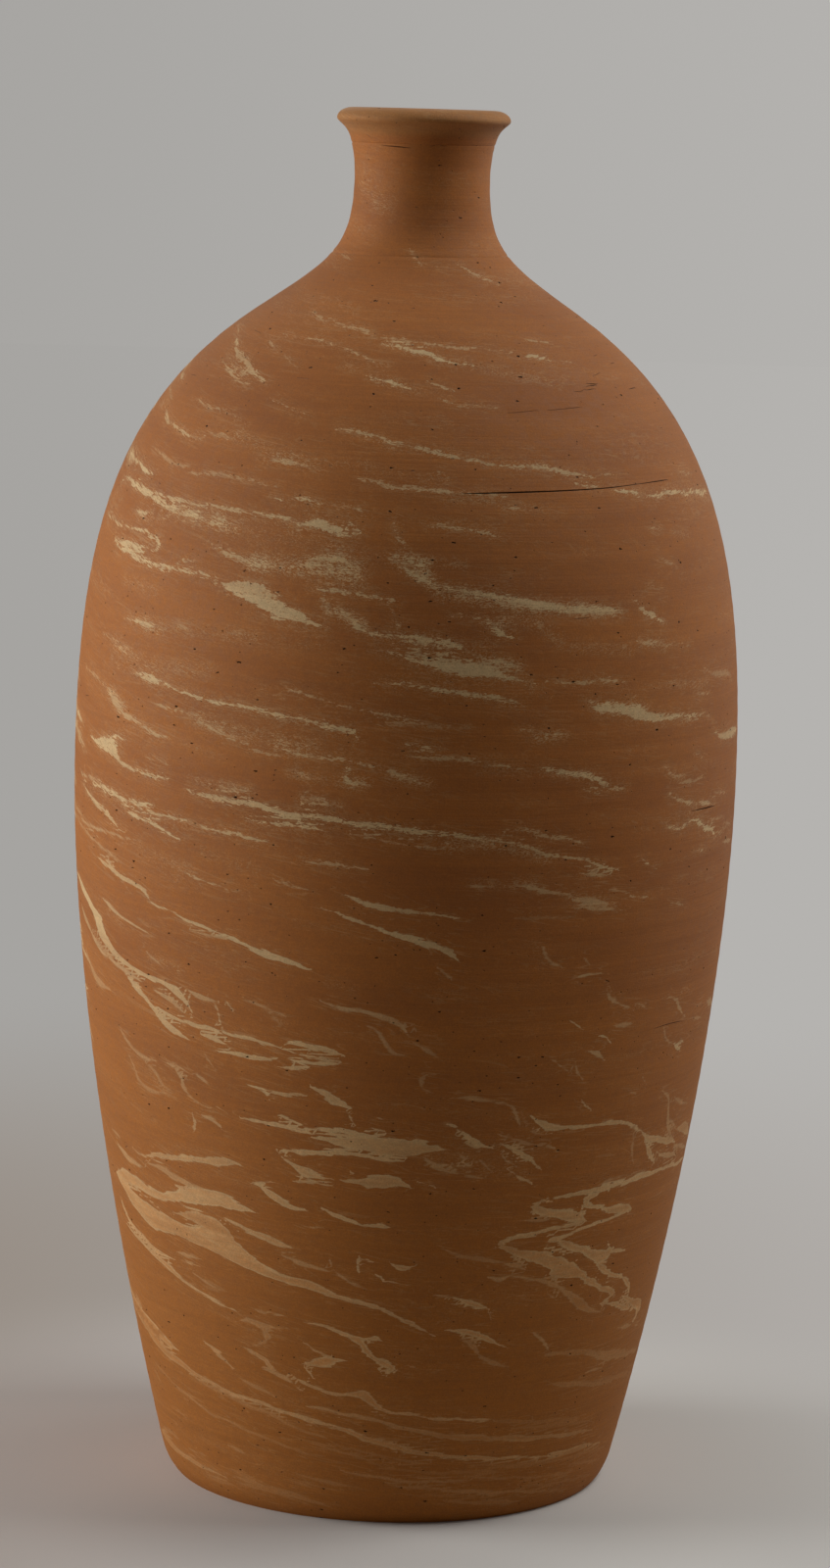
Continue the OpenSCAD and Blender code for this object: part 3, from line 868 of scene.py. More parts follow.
# Hairline crack
crack_beside = add(tree, "ShaderNodeMath", {0: crack["X"]}, operation="ABSOLUTE")
crack_clear = add(tree, "ShaderNodeMath", {0: crack["Y"], 1: 1.1}, operation="SUBTRACT")
crack_off = add(tree, "ShaderNodeMath", {0: crack_beside, 1: crack_clear}, operation="MAXIMUM")
crack_wide = add(tree, "ShaderNodeMath", {0: crack_off, 1: crack["Z"]}, operation="SUBTRACT")
hairline = add(tree, "ShaderNodeMapRange", {"Value": crack_wide, "From Min": 0.12, "From Max": -0.05})
holes = add(tree, "ShaderNodeMath", {0: pore, 1: hairline}, operation="MAXIMUM")
# Specks of dark sand
speck_cells = add(tree, "ShaderNodeMapping", {"Vector": spot, "Scale": (380, 380, 520)})
speck_cell = add(
    tree, "ShaderNodeTexVoronoi", {"Vector": speck_cells, "Scale": 1.0, "Randomness": 1.0}, feature="F1"
).outputs
speck_chance = add(tree, "ShaderNodeSeparateColor", {0: speck_cell["Color"]}).outputs["Green"]
speck_size = add(
    tree, "ShaderNodeMapRange",
    {"Value": speck_chance, "From Min": 0.82, "From Max": 1.0, "To Max": 0.2},
)
speck_edge = add(
    tree, "ShaderNodeMath", {0: speck_size, 1: speck_cell["Distance"]}, operation="SUBTRACT"
)
speck = add(
    tree, "ShaderNodeMapRange",
    {"Value": speck_edge, "From Min": -0.03, "From Max": 0.06, "To Max": 0.7},
)
pits = add(tree, "ShaderNodeMath", {0: holes, 1: speck}, operation="MAXIMUM")
pitted = add(
    tree, "ShaderNodeMix", {"Factor": pits, "A": worked, "B": shade(PORE)}, data_type="RGBA"
)

grit_mm = add(tree, "ShaderNodeMath", {0: grit_noise, 1: 0.05}, operation="MULTIPLY")
rib_mm = add(tree, "ShaderNodeMath", {0: rib_noise, 1: 0.1}, operation="MULTIPLY")
pit_mm = add(tree, "ShaderNodeMath", {0: pits, 1: -0.25}, operation="MULTIPLY")
relief_a = add(tree, "ShaderNodeMath", {0: grit_mm, 1: rib_mm}, operation="ADD")
relief = add(tree, "ShaderNodeMath", {0: relief_a, 1: pit_mm}, operation="ADD")
bump = add(tree, "ShaderNodeBump", {"Height": relief, "Distance": 0.001, "Strength": 1.0})
rough = add(
    tree, "ShaderNodeMapRange",
    {"Value": mottle, "From Min": 0.3, "From Max": 0.7,
     "To Min": CLAY_ROUGHNESS - 0.05, "To Max": CLAY_ROUGHNESS + 0.05},
)
gloss = add(
    tree, "ShaderNodeMapRange", {"Value": pits, "To Min": 0.5, "To Max": 0.0}
)
# Dry clay dust lies on the shoulder and the neck, and pales them where they turn away
dust = add(
    tree, "ShaderNodeMapRange",
    {"Value": height, "From Min": 0.33, "From Max": 0.5, "To Max": DUST},
    interpolation_type="SMOOTHSTEP",
)
fired = add(
    tree, "ShaderNodeBsdfPrincipled",
    {"Base Color": pitted, "Roughness": rough, "IOR": CLAY_IOR, "Specular IOR Level": gloss,
     "Sheen Weight": dust, "Sheen Roughness": 0.4, "Sheen Tint": shade(DUST_COLOUR), "Normal": bump},
)
add(tree, "ShaderNodeOutputMaterial", {"Surface": fired})

floor_disc = throw("floor_disc", DISC_STEP, HIDDEN_STEP / 2, COLUMNS, clay)
marble(floor_disc, FOOT_STREAKS, FOOT_CLOUDS)
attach(floor_disc, "root")
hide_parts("floor_disc")


# Lower body
# The lower half of the wall, thrown as an open bowl on the floor disc and smoothed outside with a
# rib. The streaks that the photograph shows are listed one by one, and others are strewn behind.
LOWER_STEP = 1.25
LOWER_STREAKS = [
    # Just under the belly
    ([(-66, 280), (-63.3, 278.7), (-60, 277), (-56, 274.5), (-51.7, 273), (-49, 270.6), (-47.5, 267.7),
      (-43.3, 265.6), (-39, 262.6), (-35, 260.7), (-30, 257.5), (-26.7, 255), (-23.3, 252.5),
      (-18.3, 249.4), (-15.5, 247.5)],
     [0.7, 1, 1, 1.1, 1.5, 1.3, 1.1, 0.8, 0.7, 0.8, 0.9, 1.1, 1.6, 1.3, 0.6], 0.8),
    ([(-40, 283.7), (-37.5, 282), (-35, 280.2), (-31, 278.7), (-27.5, 277)], [0.9, 0.9, 0.7, 0.5, 0.4], 0.6),
    ([(-22, 285), (-19, 282.5), (-16, 281.3)], 0.8, 0.55),
    ([(-9.6, 280.6), (-7.5, 278), (-4.6, 275.8), (0, 274.6), (5, 273), (10.2, 271.2)],
     [0.5, 1, 1.1, 0.7, 0.7, 0.6], 0.8),
    ([(-13, 273.5), (-10, 272), (-6, 268.7), (-1.7, 264.7), (1.7, 262.6), (3.3, 261), (6.7, 258.7),
      (8.7, 255.6), (10, 253)], [0.6, 0.8, 0.9, 1, 1.4, 1.3, 1.2, 1.7, 0.8], 0.95),
    ([(3.3, 262.7), (7.5, 259.6), (9, 258)], 0.6, 0.6),
    ([(-38.3, 258), (-30, 256.4)], 0.6, 0.45),
    ([(11, 285), (15, 285)], 1.3, 0.55),
    ([(18.3, 285), (22, 284), (25, 282), (29, 280.5)], [1, 1.2, 1.3, 1], 0.55),
    ([(29.5, 278), (33, 277), (37, 275)], [1.6, 2.4, 1.4], 0.6),
    ([(30, 274.4), (34, 273.7), (40, 272)], 0.8, 0.5),
    ([(36, 281.2), (41.7, 278.7)], 0.9, 0.45),
    ([(41.7, 277), (46, 276)], 0.8, 0.6),
    ([(53, 271.2), (56, 270)], 1.3, 0.6),
    ([(19, 271), (30, 270.6)], 0.6, 0.35),
    ([(-82, 266.5), (-77, 264), (-74, 261.3), (-70, 257), (-67.5, 253.7), (-65.5, 250), (-64.7, 246.5),
      (-62.5, 242.7), (-60, 240), (-56, 237.5), (-51.7, 235.2), (-48.3, 234.4), (-44.5, 233), (-42, 230.5),
      (-40, 227.5), (-38.3, 222.5)],
     [1, 1.5, 1.6, 1.6, 2.3, 4, 3.6, 2.3, 1.3, 1, 1, 0.9, 1.5, 2.6, 2, 0.9], 0.85),
    ([(-63.3, 262), (-60, 260), (-56.7, 257.5), (-51.7, 255), (-48.3, 253.7)], [0.9, 1.2, 1, 0.8, 1.2], 0.65),
    ([(-77.5, 253.7), (-75, 250), (-71.7, 246.2), (-68.3, 242.5), (-65, 238.7), (-61.7, 237),
      (-57.5, 235), (-54, 232.5), (-51, 231)], [1.2, 1.3, 1.1, 1, 1, 0.8, 0.8, 1, 0.8], 0.55),
    ([(-69, 246), (-66, 241.5), (-60, 238)], 0.6, 0.4),
    ([(-56, 232), (-52.5, 227.5), (-49, 222.5), (-46, 217), (-43.3, 213.7), (-39.6, 210.8)],
     [0.9, 1, 0.9, 1.2, 2.3, 1], 0.75),
    ([(-47.5, 228.7), (-43.5, 226.3), (-40.5, 222)], [1, 2, 1.3], 0.6),
    ([(-47, 222), (-44, 219), (-38, 217.6), (-33.3, 217.5), (-31, 215.7), (-26.7, 215.5), (-23.3, 214.3),
      (-20.8, 212.5)], [0.6, 0.8, 0.7, 0.7, 0.7, 0.8, 0.9, 0.8], 0.75),
    ([(-49, 244.4), (-45, 240)], 0.9, 0.55),
    ([(-76, 235), (-72.5, 228.7), (-69, 224.5), (-63, 223)], 1.5, 0.35),
    ([(-40, 233.7), (-35, 229.4), (-33.3, 228.5), (-32.5, 221.5), (-31.7, 216.5)],
     [0.6, 1.5, 0.9, 0.4, 0.4], 0.65),
    ([(-30.8, 229.4), (-29.8, 227)], 0.9, 0.7),
    ([(-36.5, 214), (-33.5, 212.6), (-31, 211)], [1, 1.7, 1], 0.75),
    ([(-33.3, 207.5), (-28.3, 207.7), (-24.2, 206.6), (-21.2, 208), (-20, 209.5)], 0.7, 0.8),
    ([(-20, 214.4), (-18.3, 215.6), (-14.2, 213.8), (-11, 213), (-9, 211.3)], [0.8, 1, 1, 1.6, 1], 0.95),
    ([(-20.8, 212.5), (-18.3, 211.2), (-13.3, 210), (-9, 210)], 0.6, 0.8),
    ([(-20, 208.7), (-17.5, 207.6), (-13.3, 207.6), (-9.6, 208.6), (-8.8, 210)], 0.8, 0.9),
    ([(-21, 204.4), (-16, 204.4)], 0.8, 0.8),
    ([(-36, 205), (-34.5, 201)], 0.5, 0.45),
    ([(-27.5, 232.2), (-23.3, 229.4), (-20, 227)], 0.6, 0.5),
    ([(-23.3, 228.7), (-20.8, 223.7)], 1.2, 0.35),
    ([(-13.3, 234.4), (-10, 232), (-5, 230.6), (-1.7, 227.8), (0.8, 225), (1.7, 221.5)],
     [0.5, 0.9, 0.8, 0.9, 1.1, 0.7], 0.6),
    ([(2.5, 225.5), (3, 224)], 1, 0.45),
    ([(2.5, 218.7), (5, 215), (8, 210.6)], 0.6, 0.4),
    ([(-5, 225), (-3, 222), (-2, 217), (0, 213), (1.5, 213)], 0.6, 0.45),
    ([(-70.5, 226), (-66, 224)], 1, 0.35),
    ([(-60, 207.5), (-55, 199.5), (-49, 197.5)], 0.8, 0.4),
    ([(-57.5, 197), (-56, 192.5), (-55, 187.5), (-52.5, 185), (-48.3, 183.8), (-45, 185)], 0.9, 0.42),
    ([(-51.7, 195.6), (-49, 192.5), (-47.5, 187.7), (-45.5, 186)], 0.8, 0.38),
    ([(-46, 198), (-43.3, 196), (-42, 192.5), (-41.7, 188.7), (-39.6, 185), (-36, 182)],
     [0.6, 1, 1.2, 1, 0.8, 0.5], 0.52),
    ([(-44, 198.7), (-40, 195.6)], 0.7, 0.45),
    ([(-38.3, 196), (-35, 191)], 0.8, 0.42),
    ([(-34, 183), (-32, 181.3)], 0.5, 0.6),
    ([(31.7, 244.7), (34.6, 245.1), (36.5, 245)], 0.8, 0.6),
    ([(6.7, 250), (8.7, 246)], 0.9, 0.4),
    ([(24.6, 257.5), (25.8, 252.5), (28.5, 249.4)], [1.2, 1.2, 0.7], 0.42),
    ([(33, 252), (33.7, 250)], 0.9, 0.42),
    ([(38.3, 237.5), (39.2, 233.7), (41.7, 230.7), (45, 227.8)], [1.6, 1.2, 1, 0.8], 0.52),
    ([(46, 230), (48.3, 227.5)], 0.7, 0.42),
    ([(55, 229.4), (58.3, 227), (60, 222.5), (62.5, 218.8)], 0.8, 0.52),
    ([(60, 231.5), (62.5, 230.8)], 0.6, 0.5),
    ([(30.8, 226), (32, 224.4), (33.5, 222)], [1, 1.4, 0.7], 0.9),
    ([(41, 221.2), (45, 221.2)], 1.6, 0.42),
    ([(38, 218), (39.2, 217), (40.4, 214.4)], [1, 1.1, 0.6], 0.85),
    ([(36, 211.2), (37.5, 210), (39.2, 207.5)], [1.2, 1.7, 1.7], 0.6),
    ([(28.3, 209.4), (30, 206.2), (31.7, 203.7)], 0.7, 0.45),
    ([(33, 207), (33.7, 202.5), (35, 199.4)], 0.7, 0.48),
    ([(67.5, 221.2), (70, 221.8)], 1, 0.4),
    ([(75, 220), (82, 216)], 3, 0.45),
    ([(66, 216.5), (72, 214)], 1, 0.35),
    ([(59.2, 207.7), (61, 205.6), (62.5, 203.8)], [1.4, 2.2, 1.2], 0.95),
    ([(61.5, 208), (63.3, 207.4)], 0.8, 0.75),
    ([(55, 216), (56.2, 211), (59.2, 207.7)], 0.8, 0.42),
    ([(7, 205), (4.5, 204), (4.2, 200), (6, 197)], 0.8, 0.42),
    ([(50.5, 195.5), (51.5, 193)], 0.9, 0.42),
    ([(47, 191), (49, 189)], 0.8, 0.38),
    ([(35.4, 190), (36.2, 188), (37.5, 186)], [0.8, 1.2, 1.2], 0.75),
    # Slabs of the lower half, in front
    ([(-40, 178), (-39.5, 174), (-40, 171)], [1.6, 2.2, 1.4], 0.65),
    ([(-37.5, 178), (-35, 177), (-33.3, 173.8)], [0.9, 1.5, 1], 0.6),
    ([(-27.5, 195), (-25, 194), (-23.2, 192.7), (-23, 190)], [0.6, 1, 1.8, 1], 0.95),
    ([(-23, 193), (-20, 192.8), (-16.5, 193)], 1.9, 0.75),
    ([(-15, 197), (-12.5, 194.4), (-10, 191.4), (-8, 188.8)], [0.9, 2.4, 3, 1.5], 0.95),
    ([(-8.3, 186.2), (-7.5, 182.5), (-6.7, 180)], 0.5, 0.7),
    ([(-20.8, 183), (-19, 182), (-17, 180)], 1, 0.95),
    ([(-4.2, 180.6), (-1.7, 179.4)], 0.9, 0.9),
    ([(-2.7, 185), (-2.2, 184.6)], 0.8, 0.55),
    ([(-29, 180), (-23.3, 178.8), (-19, 178), (-16, 177), (-14, 175)], [0.6, 0.8, 0.8, 0.9, 0.7], 0.85),
    ([(-16, 178.9), (-10, 178.5), (-5, 177.6), (-1.7, 177), (2.5, 175.7), (6.7, 174.8), (8.7, 172.5)],
     [0.7, 0.9, 0.9, 0.9, 1, 0.9, 0.7], 1),
    ([(-15, 174.6), (-8, 173.8), (-1, 173), (5, 172.8), (9, 172)], [1.4, 2.8, 4.2, 4, 1.4], 0.9),
    ([(-20.8, 168), (-18.3, 167.6), (-14.2, 168.2), (-10, 169), (-5, 168.7), (-1.7, 167.6),
      (1.7, 167)], 0.9, 1),
    ([(-21.7, 166.9), (-20.4, 163.8), (-18.3, 161.2), (-16.7, 158.8), (-13.7, 158), (-11.3, 157.5)],
     [0.6, 1, 1.3, 2.6, 2, 0.8], 0.95),
    ([(-18.3, 155), (-15, 155.2), (-11.7, 154.5)], 0.8, 0.85),
    ([(-9.6, 156.8), (-6, 156.6), (-2.5, 157.6), (0.5, 157.5), (3.3, 154.6)], [1.2, 2.2, 3, 3, 0.9], 0.95),
    ([(5, 157.5), (7.5, 155.7)], 0.9, 0.85),
    ([(-8, 161), (-7.6, 160.4)], 0.6, 0.8),
    ([(-26.7, 152.6), (-24, 148.8), (-22, 145.3), (-18.5, 142.7), (-16.3, 142.8)],
     [1, 1.4, 1.3, 1.1, 0.5], 0.95),
    ([(-27, 152), (-23, 153.5)], 0.6, 0.6),
    ([(-14.6, 147), (-11.7, 142), (-10, 140.6), (-8, 139.5), (-6, 138)], [0.5, 0.7, 1.2, 1.9, 1.2], 0.95),
    ([(-5.8, 137.4), (-2.5, 138), (-0.4, 137.2)], [1.2, 1.7, 0.9], 0.9),
    ([(-17, 135), (-13, 135.3)], 0.8, 0.55),
    # Slabs at the left
    ([(-70, 157.5), (-66.5, 156.5)], 1.5, 0.4),
    ([(-68.3, 152.6), (-64, 148.8), (-60, 147.6), (-56.7, 147)], 1.3, 0.55),
    ([(-60, 153.8), (-54.2, 153), (-51.7, 155), (-46.7, 156.5), (-41, 157.5), (-35, 158.8),
      (-31.7, 159.4), (-29.6, 158.7)], [0.7, 0.8, 1, 1.4, 1.5, 1.8, 1.4, 0.8], 0.7),
    ([(-55, 150), (-50, 149.4), (-47.5, 147.6), (-43.3, 146), (-38, 145)], 1, 0.55),
    ([(-72, 137), (-68.3, 138.5), (-64, 138.7), (-60, 138.7), (-56, 137.5), (-50, 137), (-45, 139.5),
      (-40, 141.5), (-35, 142), (-31, 140.3), (-27.5, 138.8)],
     [1, 2.6, 2.9, 2.9, 2.3, 2.2, 3, 4.2, 3.4, 2.6, 1.2], 0.85),
    ([(-72, 137), (-66, 132.8), (-61, 129.3), (-56, 126), (-51.7, 124.4), (-47.5, 123.4),
      (-43.3, 122.8), (-38.3, 123.5), (-33.5, 120), (-30, 116), (-26.7, 112.7), (-21.7, 110.2),
      (-16.7, 108.6), (-11.7, 105.7), (-6.7, 103), (-1.7, 100.6), (2.2, 96.3), (5.8, 92.4), (9.2, 88.7)],
     [1.8, 2.4, 3.6, 4.4, 4.4, 3.8, 3.8, 6, 5.2, 3.4, 2.5, 2.1, 1.7, 1.2, 1, 1, 0.8, 0.7, 0.6], 0.85),
    ([(-48, 131), (-43.3, 131), (-38.3, 130), (-35, 127), (-31.7, 122.5)], [0.8, 1.8, 3, 3, 1.8], 0.7),
    ([(-34, 133.8), (-31, 132.4), (-27.5, 129.4), (-23.3, 127), (-19, 124.4)], [1, 1.5, 1.6, 1.2, 0.8], 0.7),
    ([(-21.7, 121), (-18.3, 118.8), (-14.2, 117), (-11.7, 115.6)], 0.7, 0.5),
    ([(-12, 121), (-11.3, 116.5), (-10, 114.4), (-7.5, 111), (-5, 109.4)], 0.7, 0.5),
    ([(-71.5, 125.5), (-71, 123), (-70, 121), (-67.5, 117.6), (-63.3, 114.4), (-59, 112), (-55, 110),
      (-50, 108.8)], [1.2, 2, 1.4, 1, 1, 1.1, 1, 0.8], 0.75),
    ([(-70, 115.7), (-66, 113), (-60, 109.4), (-55, 105.7), (-51.7, 103.8), (-48.3, 100.7), (-43.3, 97.6),
      (-40, 96), (-36.7, 93.8), (-33.3, 92)], [0.7, 0.9, 0.9, 1.2, 1.4, 1, 0.8, 0.8, 0.8, 0.6], 0.7),
    ([(-77, 118.7), (-72, 115)], 1.2, 0.35),
    ([(-48.3, 113), (-42, 112.4)], [1, 1.4], 0.5),
    ([(-46, 109.4), (-42.5, 109.3)], 0.7, 0.6),
    ([(-44, 105), (-41, 103), (-37.5, 100.7)], 0.9, 0.42),
    ([(-29, 94.5), (-26, 93.7)], 0.9, 0.42),
    ([(-25, 94.5), (-21.7, 93.5)], 0.8, 0.6),
    ([(-17.5, 91), (-13.3, 90.6), (-10.8, 89), (-8.3, 86.9), (-6, 84.8), (-4.6, 81), (-3, 77.6),
      (-0.8, 76), (1, 73.7), (0, 70.7)], [0.5, 0.8, 0.9, 1.4, 2.6, 1.6, 1.2, 1.5, 1.8, 1.2], 0.95),
    ([(-5, 86), (-3.3, 87), (-0.8, 85.2)], [1.2, 1.2, 0.8], 1),
    ([(-2, 73), (-1.3, 70.6)], 1.2, 0.95),
    ([(-18.3, 72.5), (-15, 73.8), (-11.7, 75.7), (-9.2, 76)], [1.3, 1.9, 2.5, 1.2], 1),
    ([(-12.5, 77.5), (-15, 78.8), (-17.5, 82)], 0.8, 0.6),
    ([(-18, 71), (-16.3, 67)], [1.3, 1], 0.9),
    ([(-27.5, 67.5), (-23.3, 65), (-19.2, 60.6)], [0.8, 1, 1.2], 0.6),
    ([(-21, 67), (-16.7, 62.5), (-12.5, 60.3), (-7.5, 61), (-5, 60.7), (-3.3, 57.2), (-1.7, 55), (0, 53.2),
      (5, 52), (10, 50), (15, 49.3), (20, 48.7), (24.2, 48.4)],
     [0.6, 0.8, 0.7, 0.7, 1.6, 1.6, 1, 0.7, 0.6, 0.7, 0.8, 0.8, 0.6], 0.68),
    ([(-32.5, 76), (-31, 75), (-27.5, 72.5), (-26, 68.8), (-23.3, 65)], 1, 0.55),
    ([(-33.3, 87.5), (-30, 88.7), (-26.7, 86), (-26, 82.5), (-28.3, 78.8), (-31, 77)], 0.9, 0.42),
    ([(-31, 90), (-25, 87.5), (-22, 88)], 0.8, 0.4),
    ([(-43.3, 73.8), (-41, 72), (-38.3, 68.8), (-36.3, 65.7)], [0.8, 1.5, 1.3, 0.6], 0.6),
    ([(-34, 61), (-31.7, 59.4), (-28.3, 57.6), (-24.6, 55)], 1, 0.35),
    ([(-6.5, 122.6), (-6, 120.5), (-6.5, 117.3)], [1.2, 1.3, 2], 1),
    ([(-5.7, 122.5), (-4, 122)], 0.9, 0.85),
    ([(-3, 116), (-1.5, 114)], [1, 1.5], 1),
    ([(0, 121), (1.5, 119.2), (4.6, 120)], [1, 1.6, 0.8], 0.95),
    ([(0, 112.8), (3.5, 111.5)], 0.8, 0.65),
    ([(-73, 82), (-70, 78)], 3, 0.35),
    # Streaks in front and at the right, from the zigzag down
    ([(10, 194.4), (15, 193.8), (18.3, 192), (21, 190), (22, 186.2), (22.7, 182.5)],
     [0.6, 0.7, 0.9, 1, 1.1, 1.6], 0.48),
    ([(25, 185), (27, 182), (30, 179.5), (33.3, 178.8), (36, 177.7), (39.2, 178), (41.7, 178.5),
      (46, 177), (49.2, 175), (51.7, 172)], [1, 1.8, 1.4, 1, 1, 0.9, 1.2, 1, 1, 0.9], 0.98),
    ([(49.2, 175), (50.4, 170), (50.4, 165), (51.5, 158)], [0.7, 0.9, 0.8, 0.6], 0.38),
    ([(51.7, 173), (54.2, 168.8), (56.7, 166), (61, 163.8), (65, 162), (68.3, 160)],
     [0.9, 1.2, 1.4, 1.3, 1.2, 0.8], 0.75),
    ([(54.2, 166.2), (56, 162.5), (57.3, 158.7), (59.3, 155)], [0.7, 1.1, 1.9, 1.2], 0.8),
    ([(52.5, 152.6), (57, 152)], 0.7, 0.4),
    ([(58.3, 187), (61, 182.5), (61.7, 177.6), (62.5, 171.2), (64.2, 166.2), (66.7, 162)], 1, 0.47),
    ([(63.3, 182.5), (66.7, 178.8), (71.7, 176)], 1, 0.4),
    ([(62.5, 172.5), (65, 170), (67.5, 166)], 1, 0.42),
    ([(67.5, 166.2), (71.7, 165), (76.7, 162), (80, 158.8)], [1.4, 2, 2.3, 2.3], 0.62),
    ([(60, 158.8), (64.2, 156), (67.5, 155), (71.7, 152)], 1, 0.62),
    ([(68.3, 158.8), (75, 155), (80, 152.5)], 1, 0.47),
    ([(9.8, 183), (11.7, 180), (14.2, 176), (15.8, 173.8), (18, 172)], [0.8, 1, 1, 0.9, 1], 0.95),
    ([(10.8, 178.8), (13.3, 174.4), (15.8, 172)], 0.6, 0.75),
    ([(19.2, 177.5), (22.5, 175), (25.8, 172.5), (28, 171)], 0.5, 0.55),
    ([(19.5, 174), (21.7, 171.7), (23.7, 168.8), (25.8, 166), (26.7, 163.8), (28.3, 161)],
     [0.6, 1, 1.1, 0.9, 0.8, 0.6], 0.85),
    ([(26.2, 172.5), (30, 170.7), (31.3, 168.7)], 0.7, 0.55),
    ([(25, 178.8), (28.5, 176)], 0.5, 0.42),
    ([(20, 168.8), (21.7, 165), (24, 164.7)], 0.8, 0.55),
    ([(21, 163), (23.7, 158.8), (26.5, 155.6)], [0.7, 1, 0.8], 0.9),
    ([(4.2, 171), (6, 167.5), (8.3, 163.8), (11.7, 161)], [0.7, 0.9, 0.9, 0.7], 0.6),
    ([(7.5, 166), (10.8, 163.8), (12, 161.5)], 0.8, 0.7),
    ([(12.3, 166.5), (13.8, 164.8)], 1, 0.75),
    ([(11.7, 170), (14, 166)], 0.7, 0.55),
    ([(15, 168.8), (16.7, 165), (18, 162)], 0.7, 0.5),
    ([(12.5, 161), (16.7, 158.8)], 0.6, 0.5),
    ([(5.8, 165), (10, 162)], 0.5, 0.5),
    ([(30.8, 147.6), (28.3, 146), (27.8, 144.4), (30, 142), (33.3, 140.3), (36.7, 138), (40, 136),
      (36.7, 134.5), (31.7, 133.2), (26.7, 132), (23.3, 131.3), (21.2, 129.3), (25, 125), (28.3, 122.6),
      (31.7, 120), (35, 116.5), (38.3, 113.7), (41.7, 110), (45, 106), (48.3, 102), (51.7, 99.4),
      (53.4, 97.6), (50, 95), (53.3, 93), (58.3, 90), (64.2, 85.6)],
     [0.9, 1.2, 1.4, 1.6, 1.3, 2.6, 1.2, 1, 0.9, 0.8, 0.8, 0.9, 1.3, 2, 3, 4.8, 4, 2.2, 1.4, 1.3, 1.8, 1.3,
      0.8, 1, 1.2, 0.9], 0.85),
    ([(30.8, 147.6), (35, 148.2), (40, 148.8), (45, 149.2), (51.7, 149.6), (58.3, 150), (65, 149.8),
      (70, 149), (76.7, 148), (80, 147.7)], [0.8, 0.8, 0.8, 0.9, 1, 1.2, 1.1, 1, 0.9, 0.8], 1),
    ([(41.7, 149.5), (45, 152), (49.2, 152)], 0.6, 0.4),
    ([(45, 148), (42.5, 147.6), (40.4, 145.7), (39.2, 143.8), (40, 142), (43.3, 140), (46.7, 138),
      (50, 137), (53.3, 136.2), (50, 134.8), (45, 133.8), (40, 132), (35, 130), (32, 128.8), (35, 127.5),
      (37.5, 124.6), (41.7, 121), (45, 117.6), (47.5, 116.5), (49.2, 118.4), (48, 122.5)],
     [0.7, 0.8, 1, 1.3, 1.1, 1.2, 2, 2.7, 1.3, 1, 0.9, 1, 1.3, 1.2, 1.5, 1.4, 2.2, 3, 2.6, 1.5, 0.6], 1),
    ([(49.2, 117.6), (53.3, 117.6), (54.6, 117)], [1.5, 1.2, 0.5], 1),
    ([(45, 116), (46.7, 112.5), (49.2, 109.4), (52.5, 106), (56.7, 103), (59.2, 99.5), (60, 95.7)],
     [1.8, 1.6, 1.1, 1, 1.1, 1.5, 1.5], 0.95),
    ([(56.7, 95.7), (60, 92.2), (64.2, 88.8), (67.5, 87), (68.3, 85), (67.5, 82), (66.7, 78.8)],
     [0.9, 1.4, 2.1, 2.3, 1.8, 1.8, 1.1], 0.9),
    ([(67.5, 77), (71.7, 75)], 0.9, 0.48),
    ([(59, 79.5), (66, 78)], 1, 0.47),
    ([(31.7, 86), (34.2, 82.5), (36.2, 77.6)], [1.5, 1.7, 0.8], 0.55),
    ([(26.7, 138.8), (31, 138)], 0.9, 0.4),
    ([(10, 128), (14.2, 124.4), (19.2, 122), (22.5, 120.6)], [0.6, 0.9, 0.9, 1.3], 0.47),
    ([(22.5, 120), (25, 119), (27, 117)], [1.6, 3.3, 1.6], 0.55),
    ([(20, 114), (22, 112.6), (24, 114.2)], 1.2, 0.55),
    ([(24.2, 114.4), (28.3, 112), (32.5, 109.4), (36.7, 105.7), (40, 101), (42.5, 97.5), (46.7, 92.5),
      (50, 90.7)], [0.8, 0.8, 0.9, 1.1, 1.5, 2, 1.1, 0.8], 0.48),
    ([(25.8, 105), (28.3, 104.4)], 0.9, 0.4),
    ([(33.3, 104.4), (36, 100.7)], 0.8, 0.5),
    ([(12.5, 106), (15.8, 103.2), (19.2, 100.7), (21, 99.4)], [1, 2, 1.8, 0.7], 0.95),
    ([(9.2, 107), (12.5, 105.8)], 0.6, 0.6),
    ([(11.2, 103.8), (15, 101.2)], 0.7, 0.7),
    ([(20.5, 98), (21, 95.6)], 0.7, 0.55),
    ([(12, 91), (15, 90.1), (18.3, 88.2), (20, 87), (22.5, 83.8), (25.5, 81)],
     [0.9, 1.3, 1.4, 1, 0.8, 0.9], 0.92),
    ([(15, 86), (17.5, 83.8), (19.2, 78.8), (22.5, 75), (26, 72.5)], 1, 0.45),
    ([(4.5, 74.5), (5.6, 74)], 1, 0.48),
    ([(45, 75), (50, 71), (53.3, 68), (58.3, 65.7), (65, 63.8), (70, 62.5)], 1, 0.42),
    ([(50, 63), (55, 63.2)], 1, 0.4),
    ([(35, 75), (45, 73.8), (53.3, 70.7), (61.7, 67.5), (70, 63.5), (78, 61)], 1, 0.36),
    ([(56, 57), (70, 53), (78, 50)], 1.2, 0.2),
    ([(38, 62), (53, 56), (62, 53)], 1, 0.3),
    # Long curves above the foot, and the fine lines under them
    ([(-71, 77), (-68.3, 70), (-65, 65.7), (-61, 62.5), (-56, 61), (-50, 58.5), (-43.3, 56), (-38.3, 53.8),
      (-31.7, 52), (-25, 49.5), (-18.3, 47), (-13.3, 45.6), (-8.3, 43), (-3.3, 40), (1.7, 37.2),
      (6, 35), (11.7, 33), (18.3, 31.2), (23.3, 29.8), (30, 28.8), (36.7, 27.5), (45, 26.5), (53.3, 26.2),
      (58.3, 25.2), (64.2, 23.8)],
